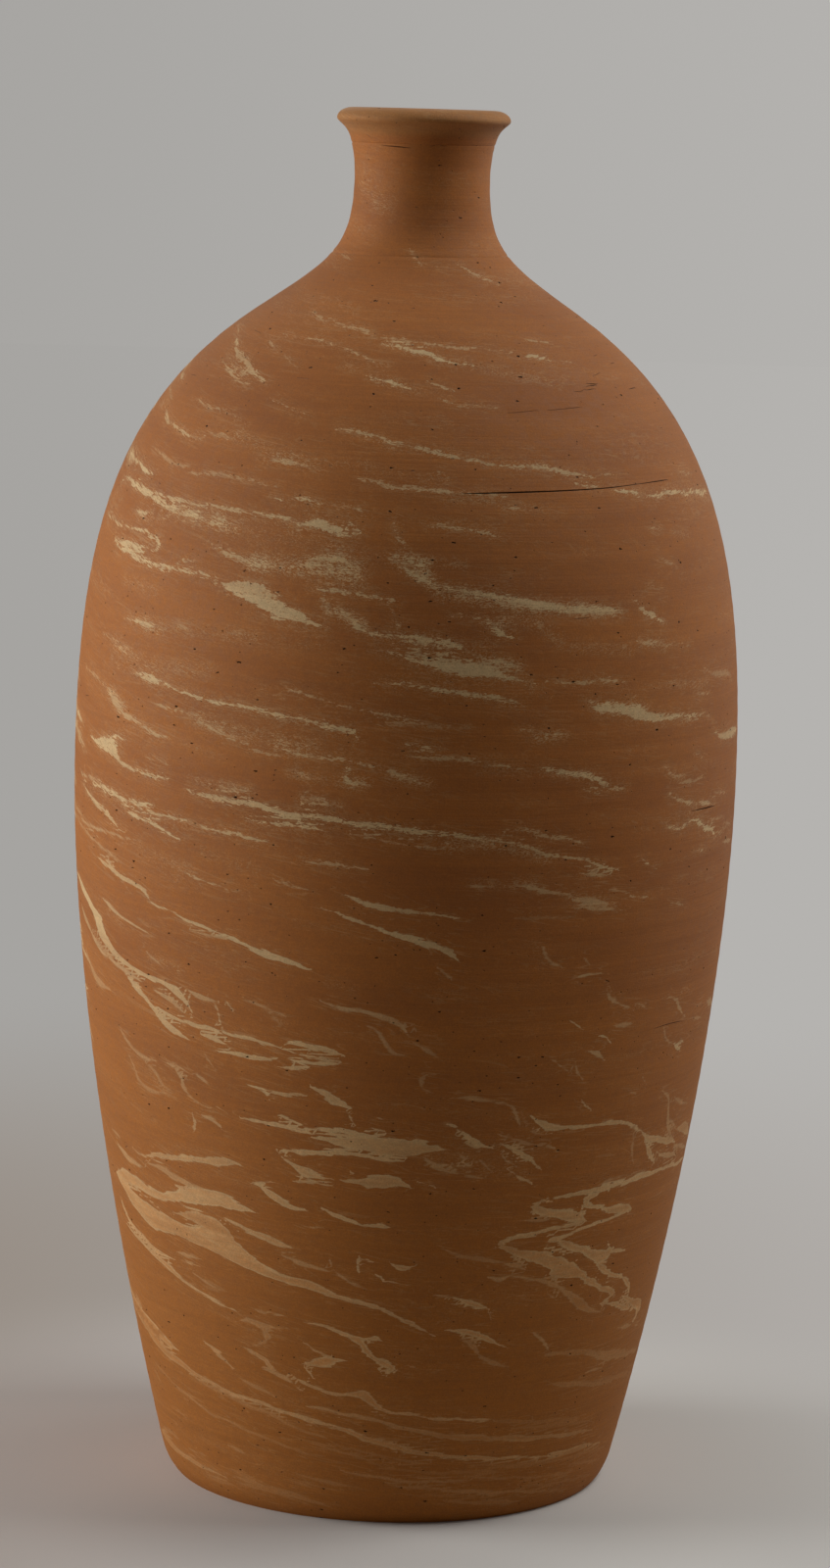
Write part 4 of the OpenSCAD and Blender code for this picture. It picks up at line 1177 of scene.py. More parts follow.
     [1.2, 2.2, 2.5, 1.5, 1.3, 1.1, 0.9, 0.8, 0.9, 1, 1.1, 1.3, 1.2, 1.2, 1.1, 1, 1, 0.9, 0.8, 0.8, 0.8,
      0.9, 1, 0.8, 0.6], 0.68),
    ([(-50, 55), (-41.7, 52.5), (-35, 49.5), (-28.3, 47.5), (-21.7, 43), (-14.2, 39.5)], 0.6, 0.3),
    ([(-60, 48.8), (-53.3, 46), (-47.5, 42.6), (-45, 40.7), (-38.3, 39.4), (-31.7, 35.8), (-26.7, 34.4),
      (-20, 31), (-15, 30.6)], 0.7, 0.3),
    ([(-67.5, 53), (-60, 50)], 0.9, 0.2),
    ([(-69, 48.5), (-67, 46)], 1.6, 0.3),
    ([(-59, 35.3), (-56.3, 34.8)], 0.7, 0.4),
    ([(-40, 27.6), (-36.3, 26.4)], 1.2, 0.3),
    ([(-32.5, 31), (-27.5, 29)], 0.8, 0.2),
    ([(-17.5, 53), (-8.3, 51), (-1.7, 48.8), (3.3, 46), (7.5, 44), (11, 42.4), (15.5, 41), (19.2, 39.4),
      (21.7, 40), (24.2, 38.8), (30, 38.4), (35, 37.2), (41.7, 36), (46.7, 35), (53.3, 33.8), (58.3, 32.5)],
     [0.6, 0.8, 0.9, 1.2, 1.1, 1.1, 1.2, 1.7, 1.8, 1.6, 1.3, 1, 0.8, 0.8, 0.9, 0.6], 0.5),
    ([(-15, 35), (-8.3, 32.5), (-1.7, 28.8), (2.5, 27.5)], 0.6, 0.3),
    ([(-11.7, 36), (-5, 33.8), (3.3, 30.7), (10, 29)], 0.6, 0.25),
    ([(-5, 30), (0, 27), (10, 25), (20, 24.3), (30, 22.5)], 0.6, 0.2),
    ([(20, 27.5), (30, 25.6), (42, 24)], 0.6, 0.2),
    ([(30, 24.5), (45, 23.3), (58, 22), (70, 19)], 0.7, 0.2),
    ([(-5, 42.5), (5, 39.5), (13, 37)], 0.5, 0.2),
    ([(25, 47), (38, 44), (50, 42)], 0.9, 0.2),
    ([(30, 43), (42, 41), (55, 38)], 0.8, 0.2),
]
LOWER_CLOUDS = [
    ([(-50, 290), (-38, 285)], 4, 0.32),
    ([(-35, 292), (-25, 288)], 5, 0.32),
    ([(29, 279), (38, 275)], 3.5, 0.5),
    ([(12, 286), (22, 285)], 3, 0.4),
    ([(-61, 258), (-57, 255)], 3, 0.45),
    ([(-48, 243), (-43, 242), (-41, 240)], 4, 0.45),
    ([(-46, 229), (-40, 223)], 4, 0.4),
    ([(-12, 243), (-8, 240)], 3.5, 0.3),
    ([(22, 260), (25, 255)], 3, 0.3),
    ([(39, 236), (42, 231)], 3, 0.35),
    ([(-23, 229), (-20, 223)], 3, 0.35),
    ([(-56, 197), (-45, 186)], 5, 0.25),
    ([(5, 170), (14, 165), (25, 160)], 5, 0.4),
    ([(22.5, 187), (24, 182)], 2.5, 0.4),
    ([(10, 175), (28, 170)], 4, 0.3),
    ([(-14, 173), (-2, 172)], 2.5, 0.4),
    ([(-50, 161), (-36, 162)], 2.5, 0.3),
    ([(-30, 83), (-26, 75)], 4, 0.3),
]
BACK_SPAN = (84, 276)
CLUSTER = 4


def strewn(seed, count, low, high):
    """Streaks like the listed ones, strewn over the wall that the photograph doesn't show."""
    chance = np.random.default_rng(seed)
    made = []
    for nth in range(count):
        if nth % CLUSTER == 0:
            start, height = chance.uniform(*BACK_SPAN), chance.uniform(low, high)
        else:
            start = np.clip(start + chance.normal(0, 9), *BACK_SPAN)
            height = np.clip(height + chance.normal(0, 6), low, high)
        length = chance.uniform(6, 34)
        fall = chance.uniform(0.2, 0.7)
        half = min(5, 0.5 + chance.gamma(1.2, 0.7))
        pale = chance.uniform(0.2, 0.95)
        if half > 2.5:
            length *= 0.5
        steps = [0, 0.3, 0.65, 1]
        bend = chance.normal(0, 1.2, 4)
        points = [
            (start + length * s, max(low, height - length * s * fall + b)) for s, b in zip(steps, bend)
        ]
        made.append((points, half, pale))
    return made


def strewn_clouds(seed, count, low, high):
    """Clouds of buff crumbs, strewn in the same way."""
    chance = np.random.default_rng(seed)
    made = []
    for _ in range(count):
        start = chance.uniform(*BACK_SPAN)
        height = chance.uniform(low, high)
        length = chance.uniform(5, 25)
        drop = length * chance.uniform(0.1, 0.4)
        made.append((
            [(start, height), (start + length, max(low, height - drop))],
            chance.uniform(3, 9), chance.uniform(0.2, 0.9),
        ))
    return made


streaks = FOOT_STREAKS + LOWER_STREAKS + strewn(11, 130, 14, 285)
clouds = FOOT_CLOUDS + LOWER_CLOUDS + strewn_clouds(12, 20, 14, 285)
lower_body = throw("lower_body", LOWER_STEP, HIDDEN_STEP, COLUMNS, clay)
marble(lower_body, streaks, clouds)
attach(lower_body, "root")
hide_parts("lower_body")


# Floor coil
# A roll of plain clay pressed into the corner between floor and wall, inside, and smoothed with a
# finger, so that the corner doesn't crack or leak.
COIL_CLAY = "#85502f"
COIL_CLAY_LIGHT = "#965d38"
COIL_COLUMNS = 240
COIL_STEP = 2.5

# Bare terracotta
# The same earthenware without marbling, fired and left unglazed: matt, with a finger's smears.
bare_clay = bpy.data.materials.new("Bare terracotta")
bare_clay.use_nodes = True
tree = bare_clay.node_tree
tree.nodes.clear()
spot = add(tree, "ShaderNodeTexCoord").outputs["Object"]
drawn = add(tree, "ShaderNodeMapping", {"Vector": spot, "Scale": (40, 40, 400)})
smear = add(tree, "ShaderNodeTexNoise", {"Vector": drawn, "Scale": 1.0, "Detail": 4.0}).outputs["Fac"]
grit = add(tree, "ShaderNodeTexNoise", {"Vector": spot, "Scale": 1500.0, "Detail": 2.0}).outputs["Fac"]
tint = add(
    tree, "ShaderNodeMix", {"Factor": smear, "A": shade(COIL_CLAY), "B": shade(COIL_CLAY_LIGHT)},
    data_type="RGBA",
)
both = add(tree, "ShaderNodeMath", {0: smear, 1: grit}, operation="ADD")
bump = add(tree, "ShaderNodeBump", {"Height": both, "Distance": 0.0002})
fired = add(
    tree, "ShaderNodeBsdfPrincipled",
    {"Base Color": tint, "Roughness": 0.85, "IOR": CLAY_IOR, "Normal": bump},
)
add(tree, "ShaderNodeOutputMaterial", {"Surface": fired})

floor_coil = throw("floor_coil", COIL_STEP, COIL_STEP, COIL_COLUMNS, bare_clay)
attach(floor_coil, "root")
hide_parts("floor_coil")


# Upper body
# The upper half of the wall, thrown as a bowl of its own, turned over on to the lower half, luted
# with slip and closed in at the shoulder. Its buff is more crumbly.
UPPER_STEP = 1.45
UPPER_STREAKS = [
    ([(-60, 537.5), (-50, 536)], 0.8, 0.35),
    ([(-6, 540), (-2, 536.5), (1, 534.5)], 0.9, 0.6),
    ([(10, 534), (15, 532.5)], 0.6, 0.4),
    ([(24, 535), (32, 531.5), (41, 527.5)], 1.0, 0.6),
    # Shoulder, left of the front
    ([(-78, 506), (-71, 504.5), (-66, 502.5)], 0.7, 0.45),
    ([(-66, 502), (-60, 498), (-55, 495), (-50, 493), (-46, 490), (-42, 487.5), (-38, 485.5)],
     [0.6, 0.8, 1.1, 1.3, 1.2, 1.1, 0.6], 0.7),
    ([(-60, 492), (-56, 490.5), (-51.5, 487.5), (-47.5, 485), (-43, 484.4)], 0.7, 0.55),
    ([(-54, 492.5), (-49, 488.7), (-46, 487.5)], 0.5, 0.4),
    ([(-43, 515), (-38, 513), (-33, 511), (-30, 510)], 0.6, 0.45),
    ([(-32, 512), (-25, 509.5), (-18, 508.5), (-15, 506.5), (-10, 505.5), (-5, 505), (1, 504),
      (10, 502.5), (20, 502), (27, 500.5)], [0.8, 0.7, 1.2, 0.9, 0.7, 0.9, 0.8, 0.8, 0.8, 0.6], 0.5),
    ([(-9.5, 502.7), (-5, 502), (-2, 501), (1.5, 500), (5, 498), (7, 497), (10, 496.5), (14, 495.5)],
     [0.7, 1.2, 1.3, 1.6, 1.7, 1.1, 0.8, 0.8], 1),
    ([(-44, 504.5), (-39.5, 503.5)], 0.6, 0.55),
    ([(-48, 502.7), (-45, 500), (-41.5, 498)], 0.6, 0.45),
    ([(-38, 497), (-35, 494.5), (-31.5, 492)], 0.5, 0.4),
    ([(-35, 503.7), (-30, 503.5), (-26.5, 502.2), (-21.5, 500.9), (-16, 498.5), (-12.5, 496),
      (-8, 495)], 0.5, 0.6),
    ([(-18.3, 493.2), (-15.4, 492.5)], 0.8, 0.8),
    ([(-11.7, 490), (-8.3, 489), (-6, 488), (-2.5, 486.3), (0, 485)], [0.5, 0.6, 1, 1, 0.6], 0.95),
    ([(3, 488.7), (5, 487.5), (8, 486)], 0.6, 0.8),
    ([(-34, 478.7), (-31.7, 477.8), (-28, 475.6)], 0.7, 0.75),
    ([(-26, 474.6), (-24.5, 474)], 0.6, 0.8),
    ([(-59, 476), (-55, 475.2), (-51.5, 473.7), (-47.5, 473), (-42.5, 471.5)], 0.6, 0.5),
    ([(-77, 475), (-74, 474)], 0.7, 0.45),
    ([(-70, 469.5), (-66.5, 467), (-62.5, 465.6), (-60, 464.4), (-55, 462.5), (-49, 461)],
     [0.7, 0.9, 0.8, 0.7, 0.5, 0.4], 0.65),
    ([(-77, 472.5), (-72.5, 470.6)], 0.6, 0.4),
    ([(-48, 464.4), (-44, 463), (-40, 462)], 0.9, 0.4),
    ([(-65, 455), (-60, 452.5), (-56, 450), (-50, 449.4)], 1, 0.4),
    ([(-48, 447.7), (-44, 447.2), (-38, 447.7), (-33, 446), (-26.7, 445)], 0.6, 0.5),
    ([(-82, 450.6), (-78, 449.6), (-74, 448.5), (-70, 447.5), (-66, 445.6), (-61, 444.6)],
     [0.5, 0.6, 0.8, 1, 1, 0.8], 0.85),
    ([(-31, 455), (-23, 454.4), (-19, 453)], [0.4, 0.6, 0.6], 0.65),
    ([(-16.7, 469), (-13.3, 468.5), (-10, 467), (-6.7, 466), (-3.3, 464), (1, 462.5), (5, 461),
      (10, 459), (15, 457), (20, 456), (27, 455.4), (30, 453.7), (34, 452), (37, 451)],
     [0.5, 0.9, 0.7, 0.9, 0.6, 0.7, 0.9, 0.7, 0.7, 0.7, 0.9, 0.8, 0.7, 0.5], 0.7),
    ([(39, 452.3), (44, 452)], 0.5, 0.6),
    ([(33, 448.7), (36, 447.7), (38.3, 447.7)], 0.9, 0.85),
    ([(41.5, 446), (45, 445), (49, 443.7), (53, 442.9), (58, 443.7), (62, 443), (66, 442.2),
      (70, 441.8), (75, 441), (83, 439.7)], [0.8, 1, 0.9, 0.8, 1, 1.3, 1.5, 1.2, 1, 0.8], 0.95),
    ([(-10, 449.2), (-6.7, 448.5), (-2.5, 447.2), (1.7, 446.2), (5, 445.6), (10, 445), (17, 444)],
     [0.6, 0.9, 1, 0.9, 0.8, 0.6, 0.4], 0.7),
    ([(5, 453.5), (6.5, 451)], 0.7, 0.6),
    ([(-26.7, 440.6), (-25, 439.8)], 0.7, 0.8),
    ([(-22.5, 440.5), (-20, 441), (-17.5, 439.5)], 1.6, 0.85),
    ([(-14.2, 438.7), (-11.7, 438.7), (-8.3, 435.6)], 0.5, 0.65),
    ([(-76, 438.7), (-72.5, 440), (-68, 438.8), (-64, 438), (-60, 436.5), (-56, 435), (-51.7, 432.5),
      (-47.5, 431.2), (-41.7, 429.7), (-38, 428)], [0.5, 0.8, 1.1, 1.2, 1.1, 1.1, 0.9, 0.8, 0.9, 0.6], 0.9),
    ([(-60, 438.7), (-55, 437), (-49, 435.6), (-43, 434.8), (-38, 434.7), (-33, 433.7), (-28, 433),
      (-23, 432.2), (-20, 430.6)], [0.4, 0.5, 0.5, 0.6, 0.6, 0.7, 0.7, 0.8, 0.8], 0.75),
    ([(-20.5, 430), (-18.3, 431.2), (-14.2, 429.4), (-13, 427.6), (-9.2, 428.2)],
     [1, 1.7, 1.5, 1.3, 0.8], 1),
    ([(-12, 433), (-9.5, 430)], 0.6, 0.7),
    ([(-3.3, 432.5), (-2.5, 427.5), (-1.2, 423.7)], 0.6, 0.75),
    ([(-62, 429), (-60, 428.2), (-57.5, 428.7)], 1, 0.75),
    ([(-80, 424.6), (-74, 423), (-69, 422), (-65, 421), (-60, 421.2), (-55.8, 421), (-54, 418.7),
      (-51.7, 418), (-51.2, 415.6), (-54, 413.7)], [0.5, 0.6, 0.9, 0.7, 0.5, 0.7, 0.8, 0.9, 0.9, 0.7], 0.8),
    ([(-68.3, 415), (-65, 414.4), (-61.7, 415), (-58.3, 414.4), (-54.2, 415)],
     [0.8, 1.3, 1.8, 1.5, 1], 0.95),
    ([(-67, 413.7), (-63.3, 412), (-59.2, 411.9), (-56.2, 410), (-51.7, 408.7), (-47.5, 408.1),
      (-43.3, 407.5), (-38.3, 406.9), (-35, 405)], [0.7, 1.1, 1, 0.9, 1.1, 1.2, 1, 1.1, 1.2], 0.9),
    ([(-45, 411), (-41.5, 412)], 0.9, 0.6),
    ([(-38, 418.7), (-35, 417), (-31.7, 415), (-26.7, 413)], [0.6, 0.9, 0.9, 0.6], 0.65),
    ([(-36, 404.4), (-31.7, 403), (-26.7, 400), (-23.3, 397.5), (-20, 394), (-16.5, 391), (-14, 389.7)],
     [0.9, 2.4, 4.8, 4.4, 2.8, 1.8, 0.7], 1),
    ([(-17, 417), (-13, 417.5), (-10, 415)], [0.8, 1.6, 0.9], 0.95),
    ([(-17, 404.4), (-11.7, 404.4), (-7.5, 403), (-2.5, 402)], [0.6, 0.7, 1, 0.6], 0.85),
    ([(-1.7, 415), (1, 412), (3, 409.5)], [1.2, 2.3, 1.2], 1),
    ([(-4, 401), (-2.7, 396), (-1.7, 391)], 0.6, 0.7),
    ([(-15, 401), (-13.7, 396)], 0.7, 0.75),
    ([(-12.5, 398.7), (-10.8, 395), (-9, 391)], [0.6, 0.9, 0.9], 0.9),
    ([(5.8, 407.5), (9, 406), (13.3, 404.4), (17.5, 403), (21.7, 401.2), (25.8, 399.4), (30, 398.7),
      (34, 397.7), (39.5, 397.5)], [0.6, 1, 1.2, 1.3, 1.4, 1.3, 1.5, 1.3, 1], 0.9),
    ([(6.7, 396.5), (10, 395.6)], 0.5, 0.6),
    ([(11.5, 395.5), (14, 392.5), (15.3, 389), (17.5, 387.5)], [0.7, 1.3, 1.2, 0.8], 0.9),
    ([(42.5, 400), (44, 397), (46, 394.5), (48.5, 392)], [0.8, 1.3, 1.3, 0.8], 0.9),
    ([(45, 405), (49, 404.4), (50, 402)], 0.6, 0.4),
    ([(50, 417.5), (53.5, 414.5)], 0.8, 0.4),
    ([(49.5, 429.5), (51.5, 429.3)], 0.4, 0.7),
    ([(3.3, 432.5), (6.7, 432), (9.2, 431), (12.5, 430), (15, 428)], [0.6, 0.7, 0.5, 0.7, 0.5], 0.7),
    ([(17.5, 439.5), (20, 439.3)], 0.7, 0.6),
    ([(6, 482), (8, 481)], 0.6, 0.6),
    ([(8.7, 479.8), (18, 479)], 0.5, 0.4),
    ([(30.8, 499), (32.5, 499.4), (36.7, 498), (39.6, 497)], [0.5, 0.8, 1.1, 1], 0.8),
    ([(43, 497), (45, 496.8)], 0.6, 0.5),
    ([(66, 450.6), (72, 449.4)], 0.7, 0.4),
    ([(35, 505.6), (42, 504.4)], 0.5, 0.4),
    # Belly
    ([(-11, 396), (-9.2, 391.2), (-6.7, 388.7), (-3.3, 387.7), (1, 387), (5, 386.5), (8, 384.5),
      (10.3, 381.2)], [0.9, 1, 0.9, 1, 1, 1.1, 1, 0.7], 1),
    ([(-3, 386), (1, 384.5), (6, 383.5), (9.5, 381)], 0.5, 0.75),
    ([(-5, 381.5), (-2, 380.5), (3, 380.5), (9, 380)], 0.6, 0.8),
    ([(-0.5, 378.7), (3.3, 377), (7.5, 375), (11.7, 373.5), (15, 372), (19, 369.8), (21.3, 368.4)],
     [1, 1.8, 2.4, 2.3, 1.6, 0.9, 0.8], 1),
    ([(12.5, 376), (14, 377.7), (17.5, 376.2)], 1, 0.75),
    ([(-5, 368), (0, 368), (4, 366.2), (8.3, 365.2), (12.5, 363.2), (15.8, 362), (18.7, 360.7)],
     [0.4, 0.5, 0.8, 0.8, 0.8, 0.9, 0.7], 0.9),
    ([(23.7, 369), (30, 368.7), (35, 368.7), (38.7, 368)], [0.5, 0.6, 0.8, 0.5], 0.6),
    ([(61.7, 368.5), (66, 366), (72, 365), (76, 362.5)], 1.4, 0.35),
    ([(31, 361), (33, 358), (36.7, 357.5), (40, 355.5), (45, 352.3), (49, 351.3), (53.3, 350.7),
      (57.5, 350.2), (61, 350)], [0.8, 2.6, 2.6, 3.2, 1.8, 1.3, 0.8, 0.6, 0.5], 1),
    ([(53, 348.7), (58, 348.5)], 0.6, 0.5),
    ([(59, 350.6), (63, 348.7)], 0.6, 0.5),
    ([(58, 358.7), (63, 358.7)], 0.8, 0.45),
    ([(42.5, 384), (46, 383), (49, 382.3)], 1.1, 0.65),
    ([(48.3, 381.2), (56.7, 380)], 0.6, 0.5),
    ([(11.7, 383.7), (13.7, 382.5)], 0.9, 0.85),
    ([(-57.5, 384.2), (-53.3, 383.8), (-50, 383), (-47, 382.4)], [0.6, 1, 1, 0.6], 0.75),
    ([(-43, 385), (-40, 384)], 0.6, 0.5),
    ([(-31.7, 384.4), (-26.7, 384.6)], 0.5, 0.5),
    ([(-59, 372.5), (-55.8, 371.2)], 0.9, 0.5),
    ([(-65, 375.6), (-60.8, 373.7)], 0.7, 0.4),
    ([(-52.5, 362.2), (-50, 361.3), (-47.5, 360.6), (-43.3, 359), (-40, 357.5), (-35.8, 356.2),
      (-31, 355.2), (-26.7, 354.5), (-23.3, 353.8), (-20, 352.2), (-16, 351), (-11.7, 349),
      (-8.7, 347.5), (-8, 345)], [1, 1.7, 1.5, 0.8, 0.7, 0.8, 0.8, 0.7, 0.8, 1, 1.3, 1.2, 1.1, 0.5], 0.95),
    ([(-64, 354.4), (-61, 352), (-59, 349.5), (-56, 345), (-51.7, 342.5), (-48.3, 340), (-43, 338)],
     [0.9, 1.6, 2.2, 1.2, 0.9, 1, 0.9], 0.55),
    ([(-74, 358.7), (-70, 357.5), (-66, 355.6)], 0.9, 0.35),
    ([(-20.4, 364), (-18.3, 362.7), (-15, 360.6), (-11.7, 358), (-7.5, 357), (-1.7, 354.4), (3.3, 353)],
     [0.7, 0.8, 0.7, 0.7, 0.6, 0.5, 0.5], 0.7),
    ([(-25, 362), (-21, 360.2)], 0.6, 0.45),
    ([(-46.7, 351.2), (-41.7, 350), (-36.7, 348.7)], 0.9, 0.5),
    ([(-36.7, 347), (-33.3, 343.7), (-30, 341.2), (-27, 340)], 0.8, 0.6),
    ([(-21.7, 340), (-18.3, 337.8), (-14.2, 336.6), (-10, 336.3), (-5.8, 334), (-1.7, 332.5)],
     [0.5, 0.7, 0.7, 0.8, 0.7, 0.5], 0.75),
    ([(-15, 337.8), (-11.7, 335)], 0.5, 0.6),
    ([(-26.7, 337), (-20, 335.6)], 0.6, 0.5),
    ([(-18.3, 330), (-15.8, 328)], 0.8, 0.75),
    ([(-9.6, 331.5), (-9.6, 328), (-7, 326.2)], [0.8, 1.5, 0.9], 1),
    ([(-5, 333), (-2.5, 332), (0, 330), (2, 328.7)], 0.9, 0.75),
    ([(-68.7, 330.7), (-66, 330), (-63, 330), (-61, 329.7), (-59, 328.5), (-56.7, 324.5), (-53.3, 322.5),
      (-50, 321.3), (-46.7, 320.3), (-43.3, 321)], [1, 1.5, 2.8, 3.6, 3, 1.2, 1, 1.1, 1, 0.6], 0.9),
    ([(-61, 332.5), (-58.5, 333.8), (-55.5, 334)], 1, 0.9),
    ([(-48.3, 328), (-43.3, 327)], 0.9, 0.45),
    ([(-38.5, 317.3), (-35, 316.7), (-31, 315.8), (-26.7, 315), (-21.7, 313), (-17.5, 311.6),
      (-13.3, 311.2), (-10, 310.2), (-5, 309), (0, 308.5), (5, 307), (10, 306), (14, 304.8),
      (17.5, 303), (21, 301), (24, 298), (28.3, 295.6), (31.7, 294.3), (35, 291), (38.5, 288.7)],
     [1, 1.6, 1.5, 1.4, 1.2, 1.2, 1.5, 1.1, 1, 1, 0.9, 0.8, 0.9, 0.8, 0.8, 0.8, 0.8, 0.9, 1, 0.7], 0.95),
    ([(-16, 321.2), (-13.3, 319.4)], 0.8, 0.7),
    ([(-16.7, 317), (-11.7, 317.5)], 0.7, 0.8),
    ([(-31, 320.6), (-26.7, 320)], 0.7, 0.65),
    ([(-26.7, 308.7), (-21.7, 308), (-16.7, 307.5), (-12.5, 306.5)], [0.6, 0.8, 0.9, 0.6], 0.85),
    ([(-74, 313), (-68, 313), (-63, 313.7)], 0.7, 0.45),
    ([(-66.7, 310), (-63.3, 311), (-59, 310), (-56, 308.8), (-51.7, 308.7), (-46.7, 308.7)],
     [0.5, 0.9, 1, 0.9, 0.8, 0.5], 0.85),
    ([(-51.7, 306.2), (-46.7, 305.6), (-41, 304.4), (-35, 303), (-31, 302.3), (-26, 301), (-23, 300.2)],
     [0.5, 0.6, 0.6, 0.5, 0.9, 1, 0.8], 0.7),
    ([(-8.3, 305), (-1.7, 303), (5, 301), (9, 300.5)], 0.5, 0.5),
    ([(50.4, 318), (52.5, 316.2), (56.7, 313.5), (61, 312.3), (66, 310.2)], [0.9, 1.1, 0.9, 0.9, 0.5], 0.65),
    ([(66, 315), (71.7, 313.7)], 0.8, 0.4),
    ([(17, 308.7), (21.7, 307.5), (23.7, 305), (27.5, 304.4), (31, 301.2)], [0.6, 0.8, 0.7, 0.8, 0.5], 0.7),
    ([(49.6, 305.6), (53.3, 303.3), (56, 305)], [0.9, 1.1, 0.8], 0.75),
    ([(56.7, 306), (60, 304.4), (62.5, 300.8), (66, 298.7), (67, 296.2)], [0.7, 1.1, 1.4, 1.3, 0.7], 0.95),
    ([(64, 304), (70, 302.5)], 0.6, 0.5),
    ([(67.5, 297.5), (72.5, 295.6)], 0.8, 0.45),
    ([(72.5, 299.4), (78.3, 297.5)], 0.8, 0.5),
    ([(60, 292), (63.3, 291.5)], 0.7, 0.7),
    ([(73, 291.2), (80, 290)], 1.5, 0.6),
    ([(44, 292.5), (45.4, 290), (47.5, 288)], 0.9, 0.75),
    ([(31, 288.7), (36, 287.2)], 1.3, 0.55),
    ([(-16, 293), (-11, 292.2), (-6, 291.6)], 0.7, 0.6),
    ([(-73.3, 308.7), (-69.2, 305.7), (-65, 303), (-61, 300.6), (-57.5, 297), (-54.6, 295.7)],
     [0.7, 1, 1.3, 1.7, 1.3, 1], 0.8),
    ([(-55, 304.7), (-51, 302.5), (-46.7, 300.6), (-43.3, 298), (-40, 296)], [0.8, 0.9, 1.2, 1.3, 0.8], 0.8),
    ([(-80, 292.5), (-75, 290), (-70, 288), (-65, 285.7), (-60, 283), (-56, 281.2)], 1, 0.4),
    ([(0.4, 343.7), (3.3, 342.7), (6, 342)], 0.8, 0.9),
    ([(-5, 351), (1.7, 351.2), (10, 350.6)], 0.6, 0.35),
    ([(18.7, 350), (21, 349.5)], 0.6, 0.6),
    ([(22, 348), (26, 347.5)], 0.9, 0.7),
    ([(0, 338.7), (3.3, 338), (10.8, 337.5), (14, 335.7), (17.5, 334.5), (19.5, 333.7)], 0.7, 0.6),
    ([(22.9, 333.8), (25.8, 332.6), (28.3, 330.8), (31.7, 329.7), (34, 327.2), (35.8, 324.6),
      (39.4, 323.8)], [1, 1, 0.8, 1.2, 1.5, 1.4, 0.9], 0.95),
    ([(31, 323.8), (33.3, 322.5)], 0.9, 0.7),
    ([(49, 330), (50, 327.6), (54, 326)], 0.7, 0.5),
    ([(51.7, 323.7), (58.3, 322.5), (61, 323)], 0.7, 0.45),
    ([(58, 333.7), (60, 332.3)], 0.6, 0.5),
    ([(65, 341.7), (66.7, 340), (70, 338.5), (75, 338.5), (81, 338)], [1.2, 1.6, 1.8, 2.6, 3.4], 0.85),
]
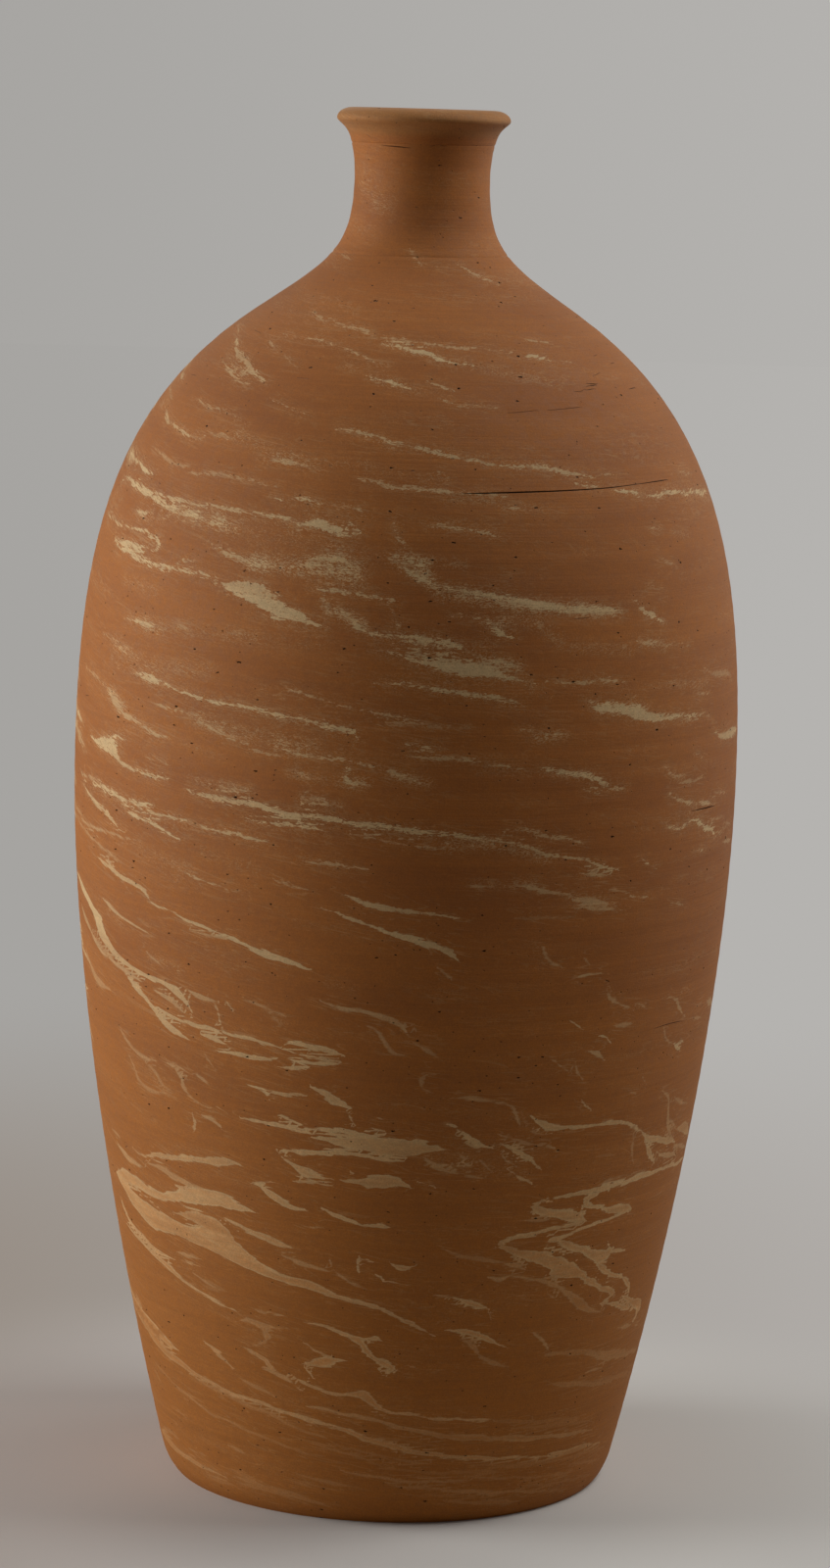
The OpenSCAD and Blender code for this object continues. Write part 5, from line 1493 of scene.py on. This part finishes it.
UPPER_CLOUDS = [
    ([(-30, 516), (-23, 514.4)], 2, 0.3),
    ([(18, 494), (28, 491)], 4, 0.3),
    ([(31, 490), (37, 487)], 3, 0.35),
    ([(-41, 469.4), (-38, 468)], 2.5, 0.45),
    ([(-39, 464), (-30, 459), (-20, 456), (-10, 456)], 4, 0.38),
    ([(-8, 454), (5, 451)], 3, 0.4),
    ([(6, 442), (20, 441), (28, 438)], 3.5, 0.3),
    ([(-78, 433), (-71, 432)], 3, 0.45),
    ([(-60, 428), (-52, 427)], 3, 0.45),
    ([(-38, 431), (-34, 426.5)], 4, 0.5),
    ([(-50, 430), (-35, 427), (-20, 424), (-10, 420), (0, 418)], 6, 0.35),
    ([(-28, 414), (-18, 413), (-9, 411)], 6, 0.85),
    ([(2, 416), (5, 404)], 4, 0.75),
    ([(-3, 419), (9, 417)], 3, 0.6),
    ([(-60, 400), (-50, 398)], 4, 0.4),
    ([(-14, 397), (-8, 393)], 4, 0.6),
    ([(8, 404), (20, 400), (38, 396)], 4, 0.5),
    ([(16, 394), (24, 390), (26, 385)], 4.5, 0.6),
    ([(29, 383), (40, 381)], 4, 0.5),
    ([(43, 383), (49, 381)], 3, 0.4),
    ([(56, 427), (61, 425)], 2.5, 0.4),
    ([(75, 438), (82, 436)], 2, 0.4),
    ([(-51, 385), (-30, 383), (-15, 382)], 6, 0.3),
    ([(12, 378), (19, 376)], 3.5, 0.7),
    ([(-60, 373), (-50, 368), (-35, 369)], 5, 0.38),
    ([(-61, 366), (-53, 362)], 3, 0.5),
    ([(20.8, 366), (24, 363)], 2.5, 0.5),
    ([(50, 366), (62, 363)], 2.5, 0.42),
    ([(-38, 348), (-25, 344), (-15, 341)], 5, 0.5),
    ([(-40, 337), (-32, 333)], 2.5, 0.4),
    ([(-61, 352), (-56, 348)], 3, 0.55),
    ([(-2, 331), (4, 328)], 3, 0.5),
    ([(-19, 329), (-7, 327)], 4, 0.4),
    ([(-38, 323), (-26, 320)], 2.5, 0.5),
    ([(-17, 319), (-10, 317)], 2.5, 0.5),
    ([(62, 329), (69, 326)], 2, 0.4),
    ([(8, 302), (18, 300), (24, 296)], 4, 0.5),
    ([(22, 346), (27, 347)], 2.5, 0.5),
]

streaks = streaks + UPPER_STREAKS + strewn(21, 120, 292, 520)
clouds = clouds + UPPER_CLOUDS + strewn_clouds(22, 36, 292, 520)
upper_body = throw("upper_body", UPPER_STEP, HIDDEN_STEP, COLUMNS, clay)
marble(upper_body, streaks, clouds)
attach(upper_body, "root")
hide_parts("upper_body")


# Belly coil
# A flat coil of plain clay smeared over the inside of the seam between the two halves.
belly_coil = throw("belly_coil", COIL_STEP, COIL_STEP, COIL_COLUMNS, bare_clay)
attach(belly_coil, "root")
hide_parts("belly_coil")


# Neck
# A collar thrown on to the shoulder and drawn in to a waist. A tool cleaned the joint at its foot,
# and left a faint line there.
NECK_STEP = 0.9
THROAT_STEP = 1.5
NECK_STREAKS = [
    ([(40, 537), (48, 533)], 0.8, 0.5),
    ([(-64, 566), (-58, 564.5)], 0.8, 0.4),
    ([(-42, 560), (-32, 558)], 1.0, 0.4),
]
# The two wide clouds on the left of the neck are painted light: paler clay where the left lamp lights that
# side.
NECK_PAINTED_LIGHT = [([(-62, 572), (-48, 566), (-30, 560)], 8, 0.3), ([(-70, 552), (-40, 546)], 6, 0.25)]

streaks = streaks + NECK_STREAKS
clouds = clouds + NECK_PAINTED_LIGHT
neck = throw("neck", NECK_STEP, THROAT_STEP, COLUMNS, clay)
marble(neck, streaks, clouds)
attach(neck, "root")
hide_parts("neck")


# Neck coil
# A thin coil of plain clay smeared over the inside of the seam between shoulder and neck.
neck_coil = throw("neck_coil", THROAT_STEP, THROAT_STEP, COIL_COLUMNS, bare_clay)
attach(neck_coil, "root")
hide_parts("neck_coil")


# Rolled lip
# A coil rolled over the top of the neck and rounded with wet fingers.
LIP_STEP = 0.6
LIP_INSIDE_STEP = 1.0

rolled_lip = throw("rolled_lip", LIP_STEP, LIP_INSIDE_STEP, COLUMNS, clay)
marble(rolled_lip, streaks, clouds)
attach(rolled_lip, "root")
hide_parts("rolled_lip")


low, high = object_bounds()
